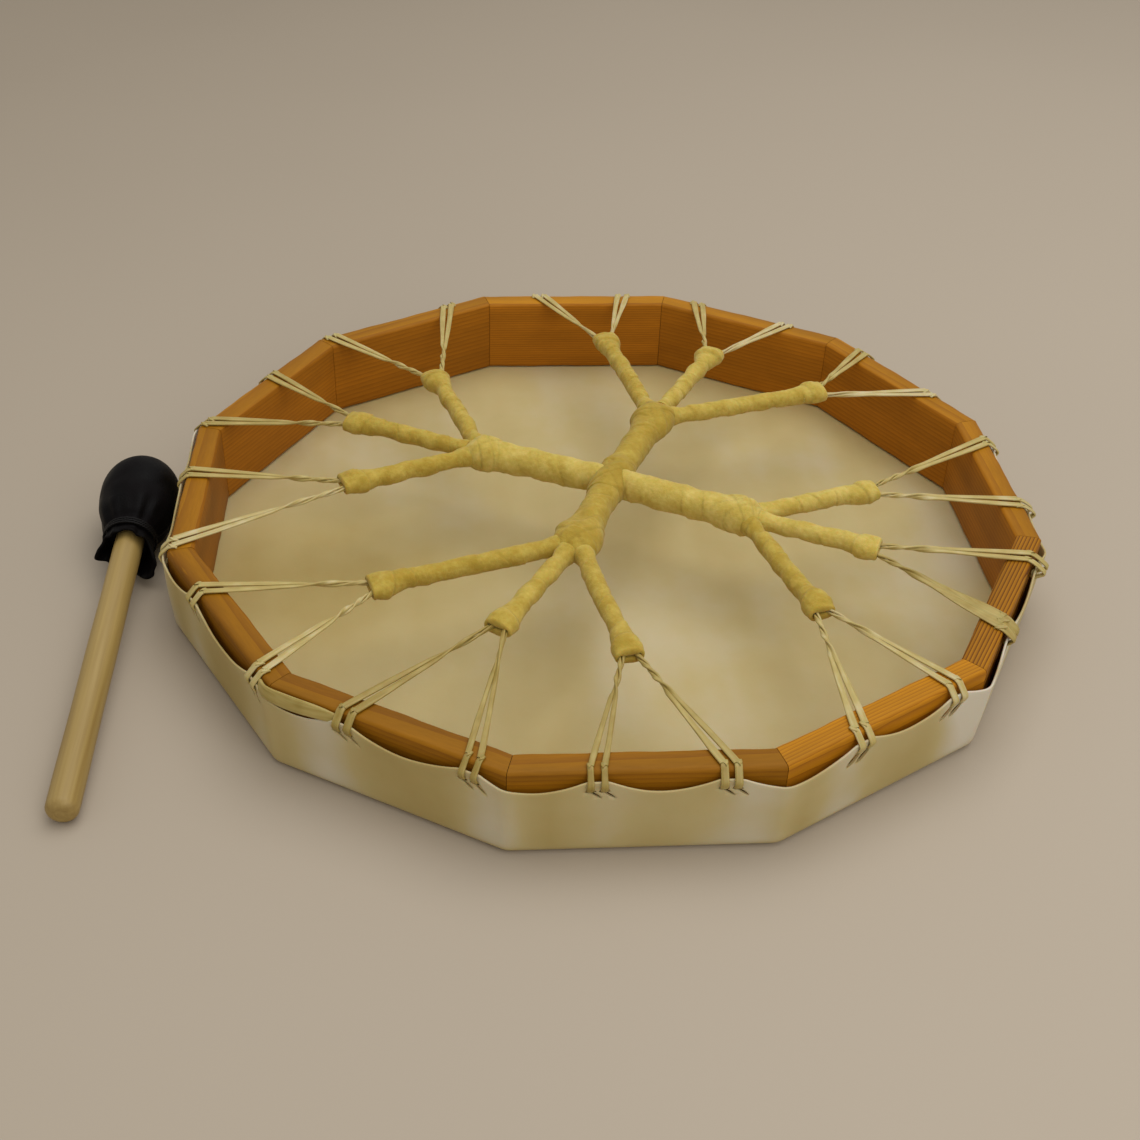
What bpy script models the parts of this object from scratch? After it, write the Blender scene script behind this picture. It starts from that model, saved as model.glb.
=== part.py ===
"""Shaman drum with its beater.

A twelve-sided hoop of mitred staves carries a rawhide head that turns up round the
outside. A lace goes in and out of slits in the head's scalloped edge, over the hoop
and to the middle, where its strands are gathered into twelve twigs, four limbs and a
hub, each wrapped in a lapped leather strip. The hub is the hand hold.

Units are metres. The drum lies on its head, open back up: the origin is the middle of
the head's outer face, +Z points out of the open back and a flat side faces -Y.
"""

import bmesh
import bpy
import math
import numpy as np
from mathutils import Matrix


# Hoop
SIDES = 12
ACROSS_FLATS = 0.480
STAVE_DEPTH = 0.0497
STAVE_THICKNESS = 0.014
ARRIS = 0.002
BEARING_ROUND = 0.004
GLUE_LINE = 0.0003

# Clearances
CLEARANCE = 0.0003
MOUTH_CLEARANCE = 0.0004

# Head
SKIN = 0.0012
CORNER_ROUND = 0.003
RIM_STANDOFF = 0.0019
PEAK_DROP = 0.0045
SCALLOP = 0.0056
HOLE_DROP = 0.0048
HOLE_WIDTH = 0.0036
HOLE_HEIGHT = 0.0024
LONGEST_SPAN = 0.021

# Laces: two flat strands each
STRAND_WIDTH = 0.0028
STRAND_THICKNESS = 0.0011
STRAND_SPREAD = 0.0064
STRAND_STACK = 0.0016
LACE_SPACING = 0.0036

# Gathered strands inside the wraps, as radii
TWIG_CORE = 0.0026
LIMB_CORE = 0.0048
HUB_CORE = 0.0064
CORE_SIDES = 8

# Lapped wraps: radius under the lap, height of the lap's edge, advance in one turn
TWIG_RADIUS = 0.0049
TWIG_NECK = 0.0043
LIMB_RADIUS = 0.0084
HUB_RADIUS = 0.0100
HUB_LENGTH = 0.034
LAP = 0.0006
TWIG_PITCH = 0.0095
LIMB_PITCH = 0.0105
TWIG_COLUMNS = 8
LIMB_COLUMNS = 12
SEAT_SIDES = 24
MOUTH_DEPTH = 0.006
MOUTH_WALL = 0.002
MOUTH_FLARE = 0.014
MOUTH_PASSAGE = 0.015
MOUTH_HALF_HEIGHT = 0.0046
TWIG_FULL = 0.015
KNUCKLE_END = 0.96
KNUCKLE_END_HEIGHT = 0.0055

# Where the lacing runs, read from above. Bearings are degrees from +X about the
# middle of the drum. A limb has the bearing and reach of its fork. Each of its twigs
# has the bearing of its tip, the free run from the tip to the inside of the hoop, and
# the bearings of its two laces at the rim.
HUB = (0.0047, -0.0024)
LIMBS = {
    "upper": (61.0, 0.0765, (
        (85.0, 0.053, (96.0, 82.0)),
        (60.5, 0.052, (69.0, 53.5)),
        (33.5, 0.048, (39.0, 24.0)))),
    "right": (-28.0, 0.0845, (
        (-5.5, 0.070, (9.0, -7.0)),
        (-27.0, 0.064, (-20.0, -35.5)),
        (-51.5, 0.062, (-50.0, -64.5)))),
    "lower": (-107.5, 0.0660, (
        (-90.0, 0.066, (-81.0, -95.5)),
        (-115.5, 0.075, (-109.0, -125.0)),
        (-142.5, 0.062, (-138.0, -155.5)))),
    "left": (157.0, 0.0755, (
        (-178.5, 0.077, (-166.5, 177.0)),
        (155.5, 0.062, (163.5, 148.0)),
        (128.5, 0.069, (133.0, 112.0)))),
}

# The lace's free end, tucked along the rim between these two laces
TAIL_FROM_LACE = 17
TAIL_TO_LACE = 16
TAIL_DROP = 0.0032
TAIL_SAG = 0.0016
TAIL_STEPS = 4

# Beater
BEATER_LENGTH = 0.274
BEATER_GAP = 0.0045
BEATER_BUTT_Y = -0.215
STICK_RADIUS = 0.008
STICK_COLUMNS = 20
STICK_END_ROUND = 0.004
HEAD_RADIUS = 0.023
HEAD_CROWN = 0.028
HEAD_LENGTH = 0.080
STICK_SHORT_OF_CROWN = 0.020
COVER_THICKNESS = 0.0014
NECK_RADIUS = 0.0143
GROOVE_RADIUS = 0.0134
GROOVE_LENGTH = 0.0085
SKIRT_RADIUS = 0.0158
SKIRT_LENGTH = 0.008
PLEATS = 7
PLEAT_DEPTH = 0.0009
COVER_COLUMNS = 28
THREAD = 0.0013
THREAD_LOOPS = 3
THREAD_PITCH = 0.0018
THREAD_POINTS = 16

# Worked out from the sizes above
HALF_TURN = math.pi / SIDES
APOTHEM = ACROSS_FLATS / 2.0
WOOD_BOTTOM = SKIN + CLEARANCE
HOOP_TOP = WOOD_BOTTOM + STAVE_DEPTH
INNER_APOTHEM = APOTHEM - STAVE_THICKNESS
BEND_CENTRE_Z = WOOD_BOTTOM + BEARING_ROUND
PEAK_Z = HOOP_TOP - PEAK_DROP
HOLE_Z = PEAK_Z - HOLE_DROP
LACING_Z = HOOP_TOP + CLEARANCE + STRAND_THICKNESS / 2.0
FLAT_HALF = (APOTHEM - CORNER_ROUND) * math.tan(HALF_TURN)
PLATEAU = (STRAND_SPREAD + HOLE_WIDTH) / 2.0 + CLEARANCE
LOOP_OUT = CLEARANCE + RIM_STANDOFF + SKIN + CLEARANCE + STRAND_THICKNESS


# Materials

def finish(name, colour, roughness):
    """A plain surface of one colour, given as red, green and blue in linear light."""
    material = bpy.data.materials.new(name)
    material.use_nodes = True
    shader = material.node_tree.nodes["Principled BSDF"]
    shader.inputs["Base Color"].default_value = (*colour, 1.0)
    shader.inputs["Roughness"].default_value = roughness
    shader.inputs["Metallic"].default_value = 0.0
    material.diffuse_color = (*colour, 1.0)
    return material


def clear_scene():
    """Starts from an empty scene."""
    for old in list(bpy.data.objects):
        bpy.data.objects.remove(old, do_unlink=True)


# Objects

def add_object(name, vertices, faces, material=None, parent=None, smooth=False):
    """Puts one closed mesh into the scene, with its faces pointing out."""
    mesh = bpy.data.meshes.new(name)
    mesh.from_pydata([tuple(map(float, vertex)) for vertex in vertices], [], faces)
    work = bmesh.new()
    work.from_mesh(mesh)
    bmesh.ops.recalc_face_normals(work, faces=work.faces)
    work.to_mesh(mesh)
    work.free()
    if smooth:
        mesh.shade_smooth()
        mesh.set_sharp_from_angle(angle=math.radians(40.0))
    if material:
        mesh.materials.append(material)
    item = bpy.data.objects.new(name, mesh)
    item.parent = parent
    bpy.context.collection.objects.link(item)
    return item


def add_empty(name, matrix):
    """A placeholder that carries the pieces of one assembly."""
    empty = bpy.data.objects.new(name, None)
    empty.matrix_world = matrix
    bpy.context.collection.objects.link(empty)
    return empty


def add_guide(name, shells):
    """Joins closed shells into one hidden shape that only cuts or adds."""
    vertices = []
    faces = []
    for shell_vertices, shell_faces in shells:
        first = len(vertices)
        vertices.extend(shell_vertices)
        faces.extend([[first + index for index in face] for face in shell_faces])
    guide = add_object(name, vertices, faces)
    guide.hide_render = True
    guide.display_type = "WIRE"
    return guide


def combine(item, guide, operation):
    """Cuts the guide from the piece, or adds it, and keeps the result exact."""
    modifier = item.modifiers.new(operation.title(), "BOOLEAN")
    modifier.operation = operation
    modifier.solver = "EXACT"
    modifier.use_self = True
    modifier.object = guide


# Shapes

def loft(sections):
    """Joins equal rings of points one after another and caps both ends."""
    sections = [np.asarray(section, float) for section in sections]
    count = len(sections[0])
    faces = []
    for ring in range(len(sections) - 1):
        low = ring * count
        high = low + count
        for side in range(count):
            after = (side + 1) % count
            faces.append([low + side, low + after, high + after, high + side])
    faces.append(list(range(count))[::-1])
    last = (len(sections) - 1) * count
    faces.append([last + side for side in range(count)])
    return np.concatenate(sections), faces


def rod(start, end, radius, sides=CORE_SIDES):
    """A straight rod between two points of the lacing plane."""
    start = np.append(np.asarray(start, float), LACING_Z)
    end = np.append(np.asarray(end, float), LACING_Z)
    axis = (end - start) / np.linalg.norm(end - start)
    across = np.array([-axis[1], axis[0], 0.0])
    turn = (np.arange(sides) + 0.5) * 2.0 * math.pi / sides
    ring = radius * (np.outer(np.cos(turn), across) + np.outer(np.sin(turn), [0.0, 0.0, 1.0]))
    return loft([start + ring, end + ring])


def slot(start, end, width, height):
    """A straight rectangular passage between two points of the lacing plane."""
    start = np.append(np.asarray(start, float), LACING_Z)
    end = np.append(np.asarray(end, float), LACING_Z)
    axis = (end - start) / np.linalg.norm(end - start)
    across = np.array([-axis[1], axis[0], 0.0]) * width / 2.0
    up = np.array([0.0, 0.0, height / 2.0])
    ring = np.array([-across - up, across - up, across + up, up - across])
    return loft([start + ring, end + ring])


def lapped_wrap(start, direction, length, half_width, half_height, shift, pitch, columns):
    """A strip wound in a helix, each turn lapping the last.

    Two helices run along the wrap at the same place, one on the surface and one a lap
    higher. The strip's face slopes from the high helix down to the low helix one turn
    further on, and its edge is the step between them. The lap grows in the first turn
    and runs out in the last. The functions give the half width, half height and
    sideways shift of the wrap at a distance from its start.
    """
    direction = np.asarray(direction, float)
    across = np.array([-direction[1], direction[0], 0.0])
    between = max(1, round(length / pitch * columns))
    total = between + 2 * columns
    steps = np.arange(total + 1)
    angle = steps * 2.0 * math.pi / columns
    along = length * np.clip((steps - columns) / between, 0.0, 1.0)
    axis = np.append(np.asarray(start, float), LACING_Z)
    centre = axis + np.outer(along, np.append(direction, 0.0)) + np.outer(shift(along), across)

    def helix(lift):
        sideways = np.outer((half_width(along) + lift) * np.cos(angle), across)
        return centre + sideways + np.outer((half_height(along) + lift) * np.sin(angle), [0.0, 0.0, 1.0])

    grown_lap = LAP * np.clip(steps / columns, 0.0, 1.0)
    vertices = np.concatenate([helix(grown_lap), helix(0.0 * steps), centre[[0, -1]]])
    high = list(range(total + 1))
    low = [total + 1 + step for step in steps]
    low[columns] = high[0]
    low[total] = low[total - columns]
    start_middle = 2 * (total + 1)
    faces = []
    for step in range(columns, total - columns):
        faces.append([low[step], low[step + 1], high[step + 1], high[step]])
    for step in range(total - columns):
        ahead = step + columns
        band = [high[step], high[step + 1], low[ahead + 1], low[ahead]]
        faces.append(band if step else band[:3])
    start_loop = high[:columns + 1]
    end_loop = low[total - columns:total]
    for loop, middle in ((start_loop, start_middle), (end_loop, start_middle + 1)):
        for corner, after in zip(loop, loop[1:] + loop[:1]):
            faces.append([corner, after, middle])
    return used_only(vertices, faces)


def used_only(vertices, faces):
    """Leaves out the points that no face uses."""
    used = sorted({index for face in faces for index in face})
    place = {old: new for new, old in enumerate(used)}
    return vertices[used], [[place[index] for index in face] for face in faces]


def bend(centre, radius, start, end, pieces):
    """Points of an arc, with the angles in degrees."""
    angles = np.radians(np.linspace(start, end, pieces + 1))
    return [(centre[0] + radius * math.cos(a), centre[1] + radius * math.sin(a)) for a in angles]


# Hoop

def side_frame(side):
    """Outward and sideways directions of one flat side, seen from above."""
    bearing = -math.pi / 2.0 + side * 2.0 * HALF_TURN
    outward = np.array([math.cos(bearing), math.sin(bearing)])
    sideways = np.array([-outward[1], outward[0]])
    return outward, sideways


def stave_profile():
    """Section of a stave: distance from the middle of the drum, and height."""
    profile = bend((APOTHEM - BEARING_ROUND, BEND_CENTRE_Z), BEARING_ROUND, -90.0, 0.0, 2)
    profile += bend((APOTHEM - ARRIS, HOOP_TOP - ARRIS), ARRIS, 0.0, 90.0, 2)
    profile += bend((INNER_APOTHEM + ARRIS, HOOP_TOP - ARRIS), ARRIS, 90.0, 180.0, 2)
    profile += bend((INNER_APOTHEM + ARRIS, WOOD_BOTTOM + ARRIS), ARRIS, 180.0, 270.0, 2)
    return profile


def make_stave(side, material, parent):
    """A board with both ends mitred, so that twelve close the hoop."""
    outward, sideways = side_frame(side)
    half_glue = GLUE_LINE / 2.0 / math.cos(HALF_TURN)
    ends = []
    for sign in (-1.0, 1.0):
        ring = []
        for reach, height in stave_profile():
            half_length = reach * math.tan(HALF_TURN) - half_glue
            ring.append((*(outward * reach + sideways * sign * half_length), height))
        ends.append(ring)
    vertices, faces = loft(ends)
    return add_object(f"stave_{side + 1:02d}", vertices, faces, material, parent)


# Places of the laces at the rim

class Lace:
    """One doubled lace: its number, its stave, and its place along that stave."""

    def __init__(self, number, bearing):
        self.number = number
        turn = math.radians(bearing) + math.pi / 2.0
        self.side = round(turn / (2.0 * HALF_TURN)) % SIDES
        off_middle = (turn + HALF_TURN) % (2.0 * HALF_TURN) - HALF_TURN
        furthest = FLAT_HALF - PLATEAU - CLEARANCE
        self.along = float(np.clip(APOTHEM * math.tan(off_middle), -furthest, furthest))
        self.outward, self.sideways = side_frame(self.side)

    def perimeter(self):
        """Distance round the hoop's outer edge, from the start of the first side."""
        side_length = 2.0 * APOTHEM * math.tan(HALF_TURN)
        return (self.side + 0.5) * side_length + self.along

    def point(self, along, out, height):
        """A point given along the stave, outward from its outer face, and up."""
        flat = self.outward * (APOTHEM + out) + self.sideways * (self.along + along)
        return np.append(flat, height)


def edge_height(perimeter, laces):
    """Height of the head's edge: a peak at each lace and a sagging curve between."""
    total = 2.0 * SIDES * APOTHEM * math.tan(HALF_TURN)
    before = min((perimeter - lace.perimeter()) % total for lace in laces)
    after = min((lace.perimeter() - perimeter) % total for lace in laces)
    span = before + after
    if span == 0.0:
        return PEAK_Z
    share = np.clip((before - PLATEAU) / (span - 2.0 * PLATEAU), 0.0, 1.0)
    return PEAK_Z - SCALLOP * 4.0 * share * (1.0 - share)


# Head

def rim_stations(laces):
    """Columns round the head: place, outward direction, edge height, and if a hole starts."""
    side_length = 2.0 * APOTHEM * math.tan(HALF_TURN)
    stations = []
    for side in range(SIDES):
        outward, sideways = side_frame(side)
        stops = {-FLAT_HALF: False, FLAT_HALF: False}
        for lace in laces:
            if lace.side != side:
                continue
            for strand in (-1.0, 1.0):
                middle = lace.along + strand * STRAND_SPREAD / 2.0
                stops[middle - HOLE_WIDTH / 2.0] = True
                stops[middle + HOLE_WIDTH / 2.0] = False
        marks = sorted(stops)
        for low, high in zip(marks, marks[1:]):
            parts = math.ceil((high - low) / LONGEST_SPAN)
            for part in range(1, parts):
                stops[low + (high - low) * part / parts] = False
        for along in sorted(stops):
            edge = edge_height((side + 0.5) * side_length + along, laces)
            base = outward * APOTHEM + sideways * along
            stations.append((base, outward, edge, stops[along]))
        corner = outward * math.cos(HALF_TURN) + sideways * math.sin(HALF_TURN)
        base = corner * ((APOTHEM - CORNER_ROUND) / math.cos(HALF_TURN) + CORNER_ROUND)
        edge = edge_height((side + 1.0) * side_length, laces)
        stations.append((base, corner, edge, False))
    return stations


def wall_out(height):
    """How far the inside of the head stands off the wood at a height."""
    return CLEARANCE + RIM_STANDOFF * (height - BEND_CENTRE_Z) / (PEAK_Z - BEND_CENTRE_Z)


def head_column(base, outward, edge, skin):
    """Points up one column of the inside face, or of the outside face with the skin added."""
    column = []
    radius = BEARING_ROUND + CLEARANCE + skin
    for reach, height in bend((-BEARING_ROUND, BEND_CENTRE_Z), radius, -90.0, 0.0, 2):
        column.append((*(base + outward * reach), height))
    for level in (HOLE_Z - HOLE_HEIGHT / 2.0, HOLE_Z + HOLE_HEIGHT / 2.0, PEAK_Z):
        share = (level - BEND_CENTRE_Z) / (PEAK_Z - BEND_CENTRE_Z)
        height = BEND_CENTRE_Z + share * (edge - BEND_CENTRE_Z)
        column.append((*(base + outward * (wall_out(height) + skin)), height))
    return column


def make_head(laces, material, parent):
    """The rawhide: a flat disc turned up round the hoop, with a pair of slits for each lace."""
    stations = rim_stations(laces)
    count = len(stations)
    inside = [head_column(base, out, edge, 0.0) for base, out, edge, _ in stations]
    outside = [head_column(base, out, edge, SKIN) for base, out, edge, _ in stations]
    rows = len(inside[0])
    vertices = [point for column in inside + outside for point in column]

    def at(face, column, row):
        return (face * count + column % count) * rows + row

    faces = []
    hole_row = rows - 3
    for column in range(count):
        holed = stations[column][3]
        for row in range(rows - 1):
            corners = ((column, row), (column + 1, row), (column + 1, row + 1), (column, row + 1))
            if holed and row == hole_row:
                for first, second in zip(corners, corners[1:] + corners[:1]):
                    faces.append([at(0, *first), at(0, *second), at(1, *second), at(1, *first)])
                continue
            faces.append([at(1, *corner) for corner in corners])
            faces.append([at(0, *corner) for corner in reversed(corners)])
        top = rows - 1
        faces.append([at(1, column, top), at(1, column + 1, top), at(0, column + 1, top), at(0, column, top)])
        for face, height in ((0, SKIN), (1, 0.0)):
            middle = len(inside + outside) * rows + face
            fan = [at(face, column, 0), at(face, column + 1, 0), middle]
            faces.append(fan if face == 0 else fan[::-1])
    vertices += [(0.0, 0.0, SKIN), (0.0, 0.0, 0.0)]
    return add_object("drum_head", vertices, faces, material, parent)


# Laces

def strand_section(centre, width_axis, thickness_axis, width=STRAND_WIDTH, thickness=STRAND_THICKNESS):
    """Four corners of a flat strand."""
    across = np.asarray(width_axis, float) * width / 2.0
    through = np.asarray(thickness_axis, float) * thickness / 2.0
    return [centre - across - through, centre + across - through,
            centre + across + through, centre - across + through]


def strand_sections(lace, start, mouth_across, strand):
    """Sections of one strand, from the twig's mouth to the far side of its slit.

    The strands leave the mouth one above the other, part on the way to the rim, cross
    the hoop side by side, go down outside the head's edge and turn in at their slits.
    """
    up = np.array([0.0, 0.0, 1.0])
    outward = np.append(lace.outward, 0.0)
    sideways = np.append(lace.sideways, 0.0)
    half = STRAND_THICKNESS / 2.0
    along = strand * STRAND_SPREAD / 2.0
    arris = lace.point(along, -ARRIS, LACING_Z)
    begin = np.append(np.asarray(start, float), LACING_Z)
    run = (arris - begin) / np.linalg.norm(arris - begin)
    across = np.array([-run[1], run[0], 0.0])
    flat_start = np.append(mouth_across, 0.0)
    places = []
    for share, lift, wide in ((0.0, 1.0, flat_start), (0.5, 1.0, across), (0.75, 0.0, across)):
        centre = begin + (arris - begin) * share + up * lift * strand * STRAND_STACK / 2.0
        places.append((centre, wide, up))
    places.append((arris, sideways, up))
    slope = (outward + up) / math.sqrt(2.0)
    over = ARRIS + CLEARANCE + half
    places.append((lace.point(along, -ARRIS, HOOP_TOP - ARRIS) + slope * over, sideways, slope))
    for height in (PEAK_Z + half, HOLE_Z + 3.0 * half):
        out = wall_out(height) + SKIN + CLEARANCE + half
        places.append((lace.point(along, out, height), sideways, outward))
    places.append((lace.point(along, out, HOLE_Z), sideways, outward - up))
    places.append((lace.point(along, wall_out(HOLE_Z), HOLE_Z), sideways, -up))
    return [strand_section(centre, strand * wide, thick) for centre, wide, thick in places]


def bridge_section(lace, strand):
    """The strand behind the head, edge on, where it lies between the hide and the wood."""
    outward = np.append(lace.outward, 0.0)
    along = strand * (STRAND_SPREAD - STRAND_WIDTH - 2.0 * CLEARANCE) / 2.0
    centre = lace.point(along, CLEARANCE + STRAND_THICKNESS / 2.0, HOLE_Z)
    return strand_section(centre, -outward, np.array([0.0, 0.0, -1.0]), STRAND_THICKNESS)


def make_lace(lace, start, mouth_across, material, parent):
    """One lace: out to the rim, in at one slit, out at the other and back."""
    sections = strand_sections(lace, start, mouth_across, 1.0)
    sections += [bridge_section(lace, 1.0), bridge_section(lace, -1.0)]
    sections += strand_sections(lace, start, mouth_across, -1.0)[::-1]
    vertices, faces = loft(sections)
    return add_object(f"lace_{lace.number:02d}", vertices, faces, material, parent)


def make_tail(laces, material, parent):
    """The lace's end, laid round a corner of the hoop from one loop to the next."""
    first = laces[TAIL_FROM_LACE - 1]
    last = laces[TAIL_TO_LACE - 1]
    up = np.array([0.0, 0.0, 1.0])
    corner = APOTHEM * math.tan(HALF_TURN)
    clear = PLATEAU + STRAND_WIDTH
    begin = first.along + clear - corner
    end = corner + last.along - clear
    reach = APOTHEM + CLEARANCE + STRAND_THICKNESS / 2.0
    sections = []
    stops = np.append(np.linspace(begin, 0.0, TAIL_STEPS)[:-1], np.linspace(0.0, end, TAIL_STEPS))
    for stop in stops:
        share = (stop - begin) / (end - begin)
        height = HOOP_TOP - TAIL_DROP - TAIL_SAG * 4.0 * share * (1.0 - share)
        outward, sideways = side_frame(first.side if stop < 0.0 else last.side)
        along = corner + stop if stop < 0.0 else stop - corner
        if stop == 0.0:
            along = -reach * math.tan(HALF_TURN)
            thick = outward - sideways * math.tan(HALF_TURN)
        else:
            thick = outward
        centre = np.append(outward * reach + sideways * along, height)
        sections.append(strand_section(centre, up, np.append(thick, 0.0)))
    vertices, faces = loft(sections)
    return add_object("lace_tail", vertices, faces, material, parent)


# Lacing tree

class Twig:
    """A wrapped bunch of two laces, from its fork to its mouth."""

    def __init__(self, fork, tip_bearing, free_run, laces):
        bearing = math.radians(tip_bearing)
        self.fork = fork
        self.tip = (INNER_APOTHEM - free_run) * np.array([math.cos(bearing), math.sin(bearing)])
        self.axis = (self.tip - fork) / np.linalg.norm(self.tip - fork)
        self.across = np.array([-self.axis[1], self.axis[0]])
        self.laces = laces
        self.core_end = self.tip - self.axis * (MOUTH_DEPTH + CLEARANCE)
        self.starts = []
        for sign in (1.0, -1.0):
            self.starts.append(self.tip - self.axis * MOUTH_DEPTH + self.across * sign * LACE_SPACING / 2.0)

    def mouth(self):
        """Both strands' passages out of the wrap, and the furthest each reaches sideways."""
        passages = []
        reaches = []
        for lace, start in zip(self.laces, self.starts):
            target = lace.point(0.0, -ARRIS, LACING_Z)[:2]
            run = target - start
            length = np.linalg.norm(run)
            run = run / length
            width = STRAND_WIDTH + STRAND_SPREAD * MOUTH_PASSAGE / length + 2.0 * MOUTH_CLEARANCE
            height = STRAND_STACK + STRAND_THICKNESS + 2.0 * MOUTH_CLEARANCE
            inner_end = start - run * STRAND_WIDTH / 2.0
            passages.append(slot(inner_end, start + run * MOUTH_PASSAGE, width, height))
            forward = run @ self.axis
            sideways = run @ self.across
            middle = (start - self.fork) @ self.across + MOUTH_DEPTH * sideways / forward
            reaches.append(middle + math.copysign(width / 2.0 / forward + MOUTH_WALL, middle))
        return passages, reaches


class Limb:
    """A wrapped bunch of six laces, from the hub to its fork into three twigs."""

    def __init__(self, name, bearing, reach, twigs, laces):
        self.name = name
        self.hub = np.array(HUB)
        turn = math.radians(bearing)
        self.fork = reach * np.array([math.cos(turn), math.sin(turn)])
        self.axis = (self.fork - self.hub) / np.linalg.norm(self.fork - self.hub)
        self.twigs = [Twig(self.fork, tip, run, laces(pair)) for tip, run, pair in twigs]
        axes = [math.atan2(twig.axis[1], twig.axis[0]) for twig in self.twigs]
        turns = [abs((a - b + math.pi) % (2.0 * math.pi) - math.pi) for a, b in zip(axes, axes[1:])]
        self.bulb = (TWIG_NECK + LAP + CLEARANCE) / math.tan(min(turns) / 2.0)


def ramp(distance, stops, values):
    """A smooth curve through a few values along a wrap."""
    place = np.interp(distance, stops, np.arange(len(stops)))
    whole = np.minimum(place.astype(int), len(stops) - 2)
    part = place - whole
    part = part * part * (3.0 - 2.0 * part)
    values = np.asarray(values, float)
    return values[whole] * (1.0 - part) + values[whole + 1] * part


def no_shift(distance):
    """For a wrap that runs straight."""
    return np.zeros_like(distance)


def make_twig(twig, name, start_gap, material, parent):
    """The leather strip round one twig, flared at the mouth where its two laces part."""
    start = twig.fork + twig.axis * start_gap
    length = float((twig.tip - start) @ twig.axis)
    passages, reaches = twig.mouth()
    flare = (max(reaches) - min(reaches)) / 2.0 - LAP
    offset = (max(reaches) + min(reaches)) / 2.0
    stops = [0.0, min(TWIG_FULL, length / 3.0), length - MOUTH_FLARE, length - MOUTH_DEPTH / 2.0, length]
    widths = [TWIG_NECK, TWIG_RADIUS, TWIG_RADIUS, flare, flare]
    heights = [TWIG_NECK, TWIG_RADIUS, TWIG_RADIUS, MOUTH_HALF_HEIGHT, MOUTH_HALF_HEIGHT]
    shifts = [0.0, 0.0, 0.0, offset, offset]
    vertices, faces = lapped_wrap(
        start, twig.axis, length,
        lambda d: ramp(d, stops, widths),
        lambda d: ramp(d, stops, heights),
        lambda d: ramp(d, stops, shifts),
        TWIG_PITCH, TWIG_COLUMNS)
    wrap = add_object(name, vertices, faces, material, parent)
    bore_end = twig.core_end + twig.axis * 2.0 * CLEARANCE
    bore = rod(twig.fork, bore_end, TWIG_CORE + CLEARANCE)
    combine(wrap, add_guide(f"{name}_bore", [bore] + passages), "DIFFERENCE")
    return wrap


def make_limb(limb, start_gap, extra_cutters, material, parent):
    """The leather strip round one limb, swelling into a round knuckle at the fork."""
    start = limb.hub + limb.axis * start_gap
    to_fork = float((limb.fork - start) @ limb.axis)
    bulb = limb.bulb
    length = to_fork + bulb * KNUCKLE_END

    def half_width(distance):
        swell = ramp(distance, [0.0, to_fork - 2.0 * bulb, to_fork], [LIMB_RADIUS, LIMB_RADIUS, bulb - LAP])
        past = np.clip(distance - to_fork, 0.0, None)
        return swell * np.sqrt(np.clip(1.0 - (past / bulb) ** 2, 0.0, None))

    def half_height(distance):
        return ramp(distance, [0.0, to_fork, length], [LIMB_RADIUS, LIMB_RADIUS, KNUCKLE_END_HEIGHT])

    vertices, faces = lapped_wrap(start, limb.axis, length, half_width, half_height,
                                  no_shift, LIMB_PITCH, LIMB_COLUMNS)
    wrap = add_object(f"{limb.name}_limb_wrap", vertices, faces, material, parent)
    cutters = [rod(limb.hub, limb.fork, LIMB_CORE + CLEARANCE)]
    cutters += [rod(limb.fork, twig.tip, TWIG_CORE + CLEARANCE) for twig in limb.twigs]
    guide = add_guide(f"{limb.name}_limb_bore", cutters + extra_cutters)
    combine(wrap, guide, "DIFFERENCE")
    return wrap


def make_hub(limbs, trunk, material, parent):
    """The leather strip round the crossing, wound along the line of two opposite limbs."""
    start = np.array(HUB) - trunk * HUB_LENGTH / 2.0
    vertices, faces = lapped_wrap(start, trunk, HUB_LENGTH, lambda distance: HUB_RADIUS,
                                  lambda distance: HUB_RADIUS, no_shift, LIMB_PITCH, LIMB_COLUMNS)
    wrap = add_object("hub_wrap", vertices, faces, material, parent)
    cutters = [rod(np.array(HUB), limb.fork, LIMB_CORE + CLEARANCE) for limb in limbs]
    cutters.append(hub_knot(trunk, CLEARANCE))
    combine(wrap, add_guide("hub_bore", cutters), "DIFFERENCE")
    return wrap


def hub_knot(trunk, extra):
    """The knot where all strands meet, as a short thick rod along the trunk."""
    half = trunk * (HUB_CORE + extra)
    return rod(np.array(HUB) - half, np.array(HUB) + half, HUB_CORE + extra, 2 * CORE_SIDES)


def make_bundle(limbs, trunk, material, parent):
    """All strands inside the wraps, gathered, branching as the wraps do."""
    vertices, faces = hub_knot(trunk, 0.0)
    bundle = add_object("lace_bundle", vertices, faces, material, parent)
    for limb in limbs:
        combine(bundle, add_guide(f"{limb.name}_core", [rod(limb.hub, limb.fork, LIMB_CORE)]), "UNION")
        for place, twig in enumerate(limb.twigs):
            branch = add_guide(f"{limb.name}_branch_{place + 1}", [rod(limb.fork, twig.core_end, TWIG_CORE)])
            combine(bundle, branch, "UNION")
    return bundle


# Beater

def turned(profile, columns):
    """Turns a profile round the +Y axis. Its ends lie on the axis.

    A point of the profile is a radius, a distance along the axis and a pleat depth.
    """
    turn = np.arange(columns) * 2.0 * math.pi / columns
    vertices = [(0.0, profile[0][1], 0.0)]
    for radius, along, pleat in profile[1:-1]:
        spread = radius + pleat * np.cos(PLEATS * turn)
        vertices += [(r * math.cos(a), along, r * math.sin(a)) for r, a in zip(spread, turn)]
    vertices.append((0.0, profile[-1][1], 0.0))
    rings = len(profile) - 2
    faces = []
    for column in range(columns):
        after = (column + 1) % columns
        faces.append([0, 1 + column, 1 + after])
        for ring in range(rings - 1):
            low = 1 + ring * columns
            high = low + columns
            faces.append([low + column, high + column, high + after, low + after])
        low = 1 + (rings - 1) * columns
        faces.append([low + column, len(vertices) - 1, low + after])
    return vertices, faces


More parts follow.
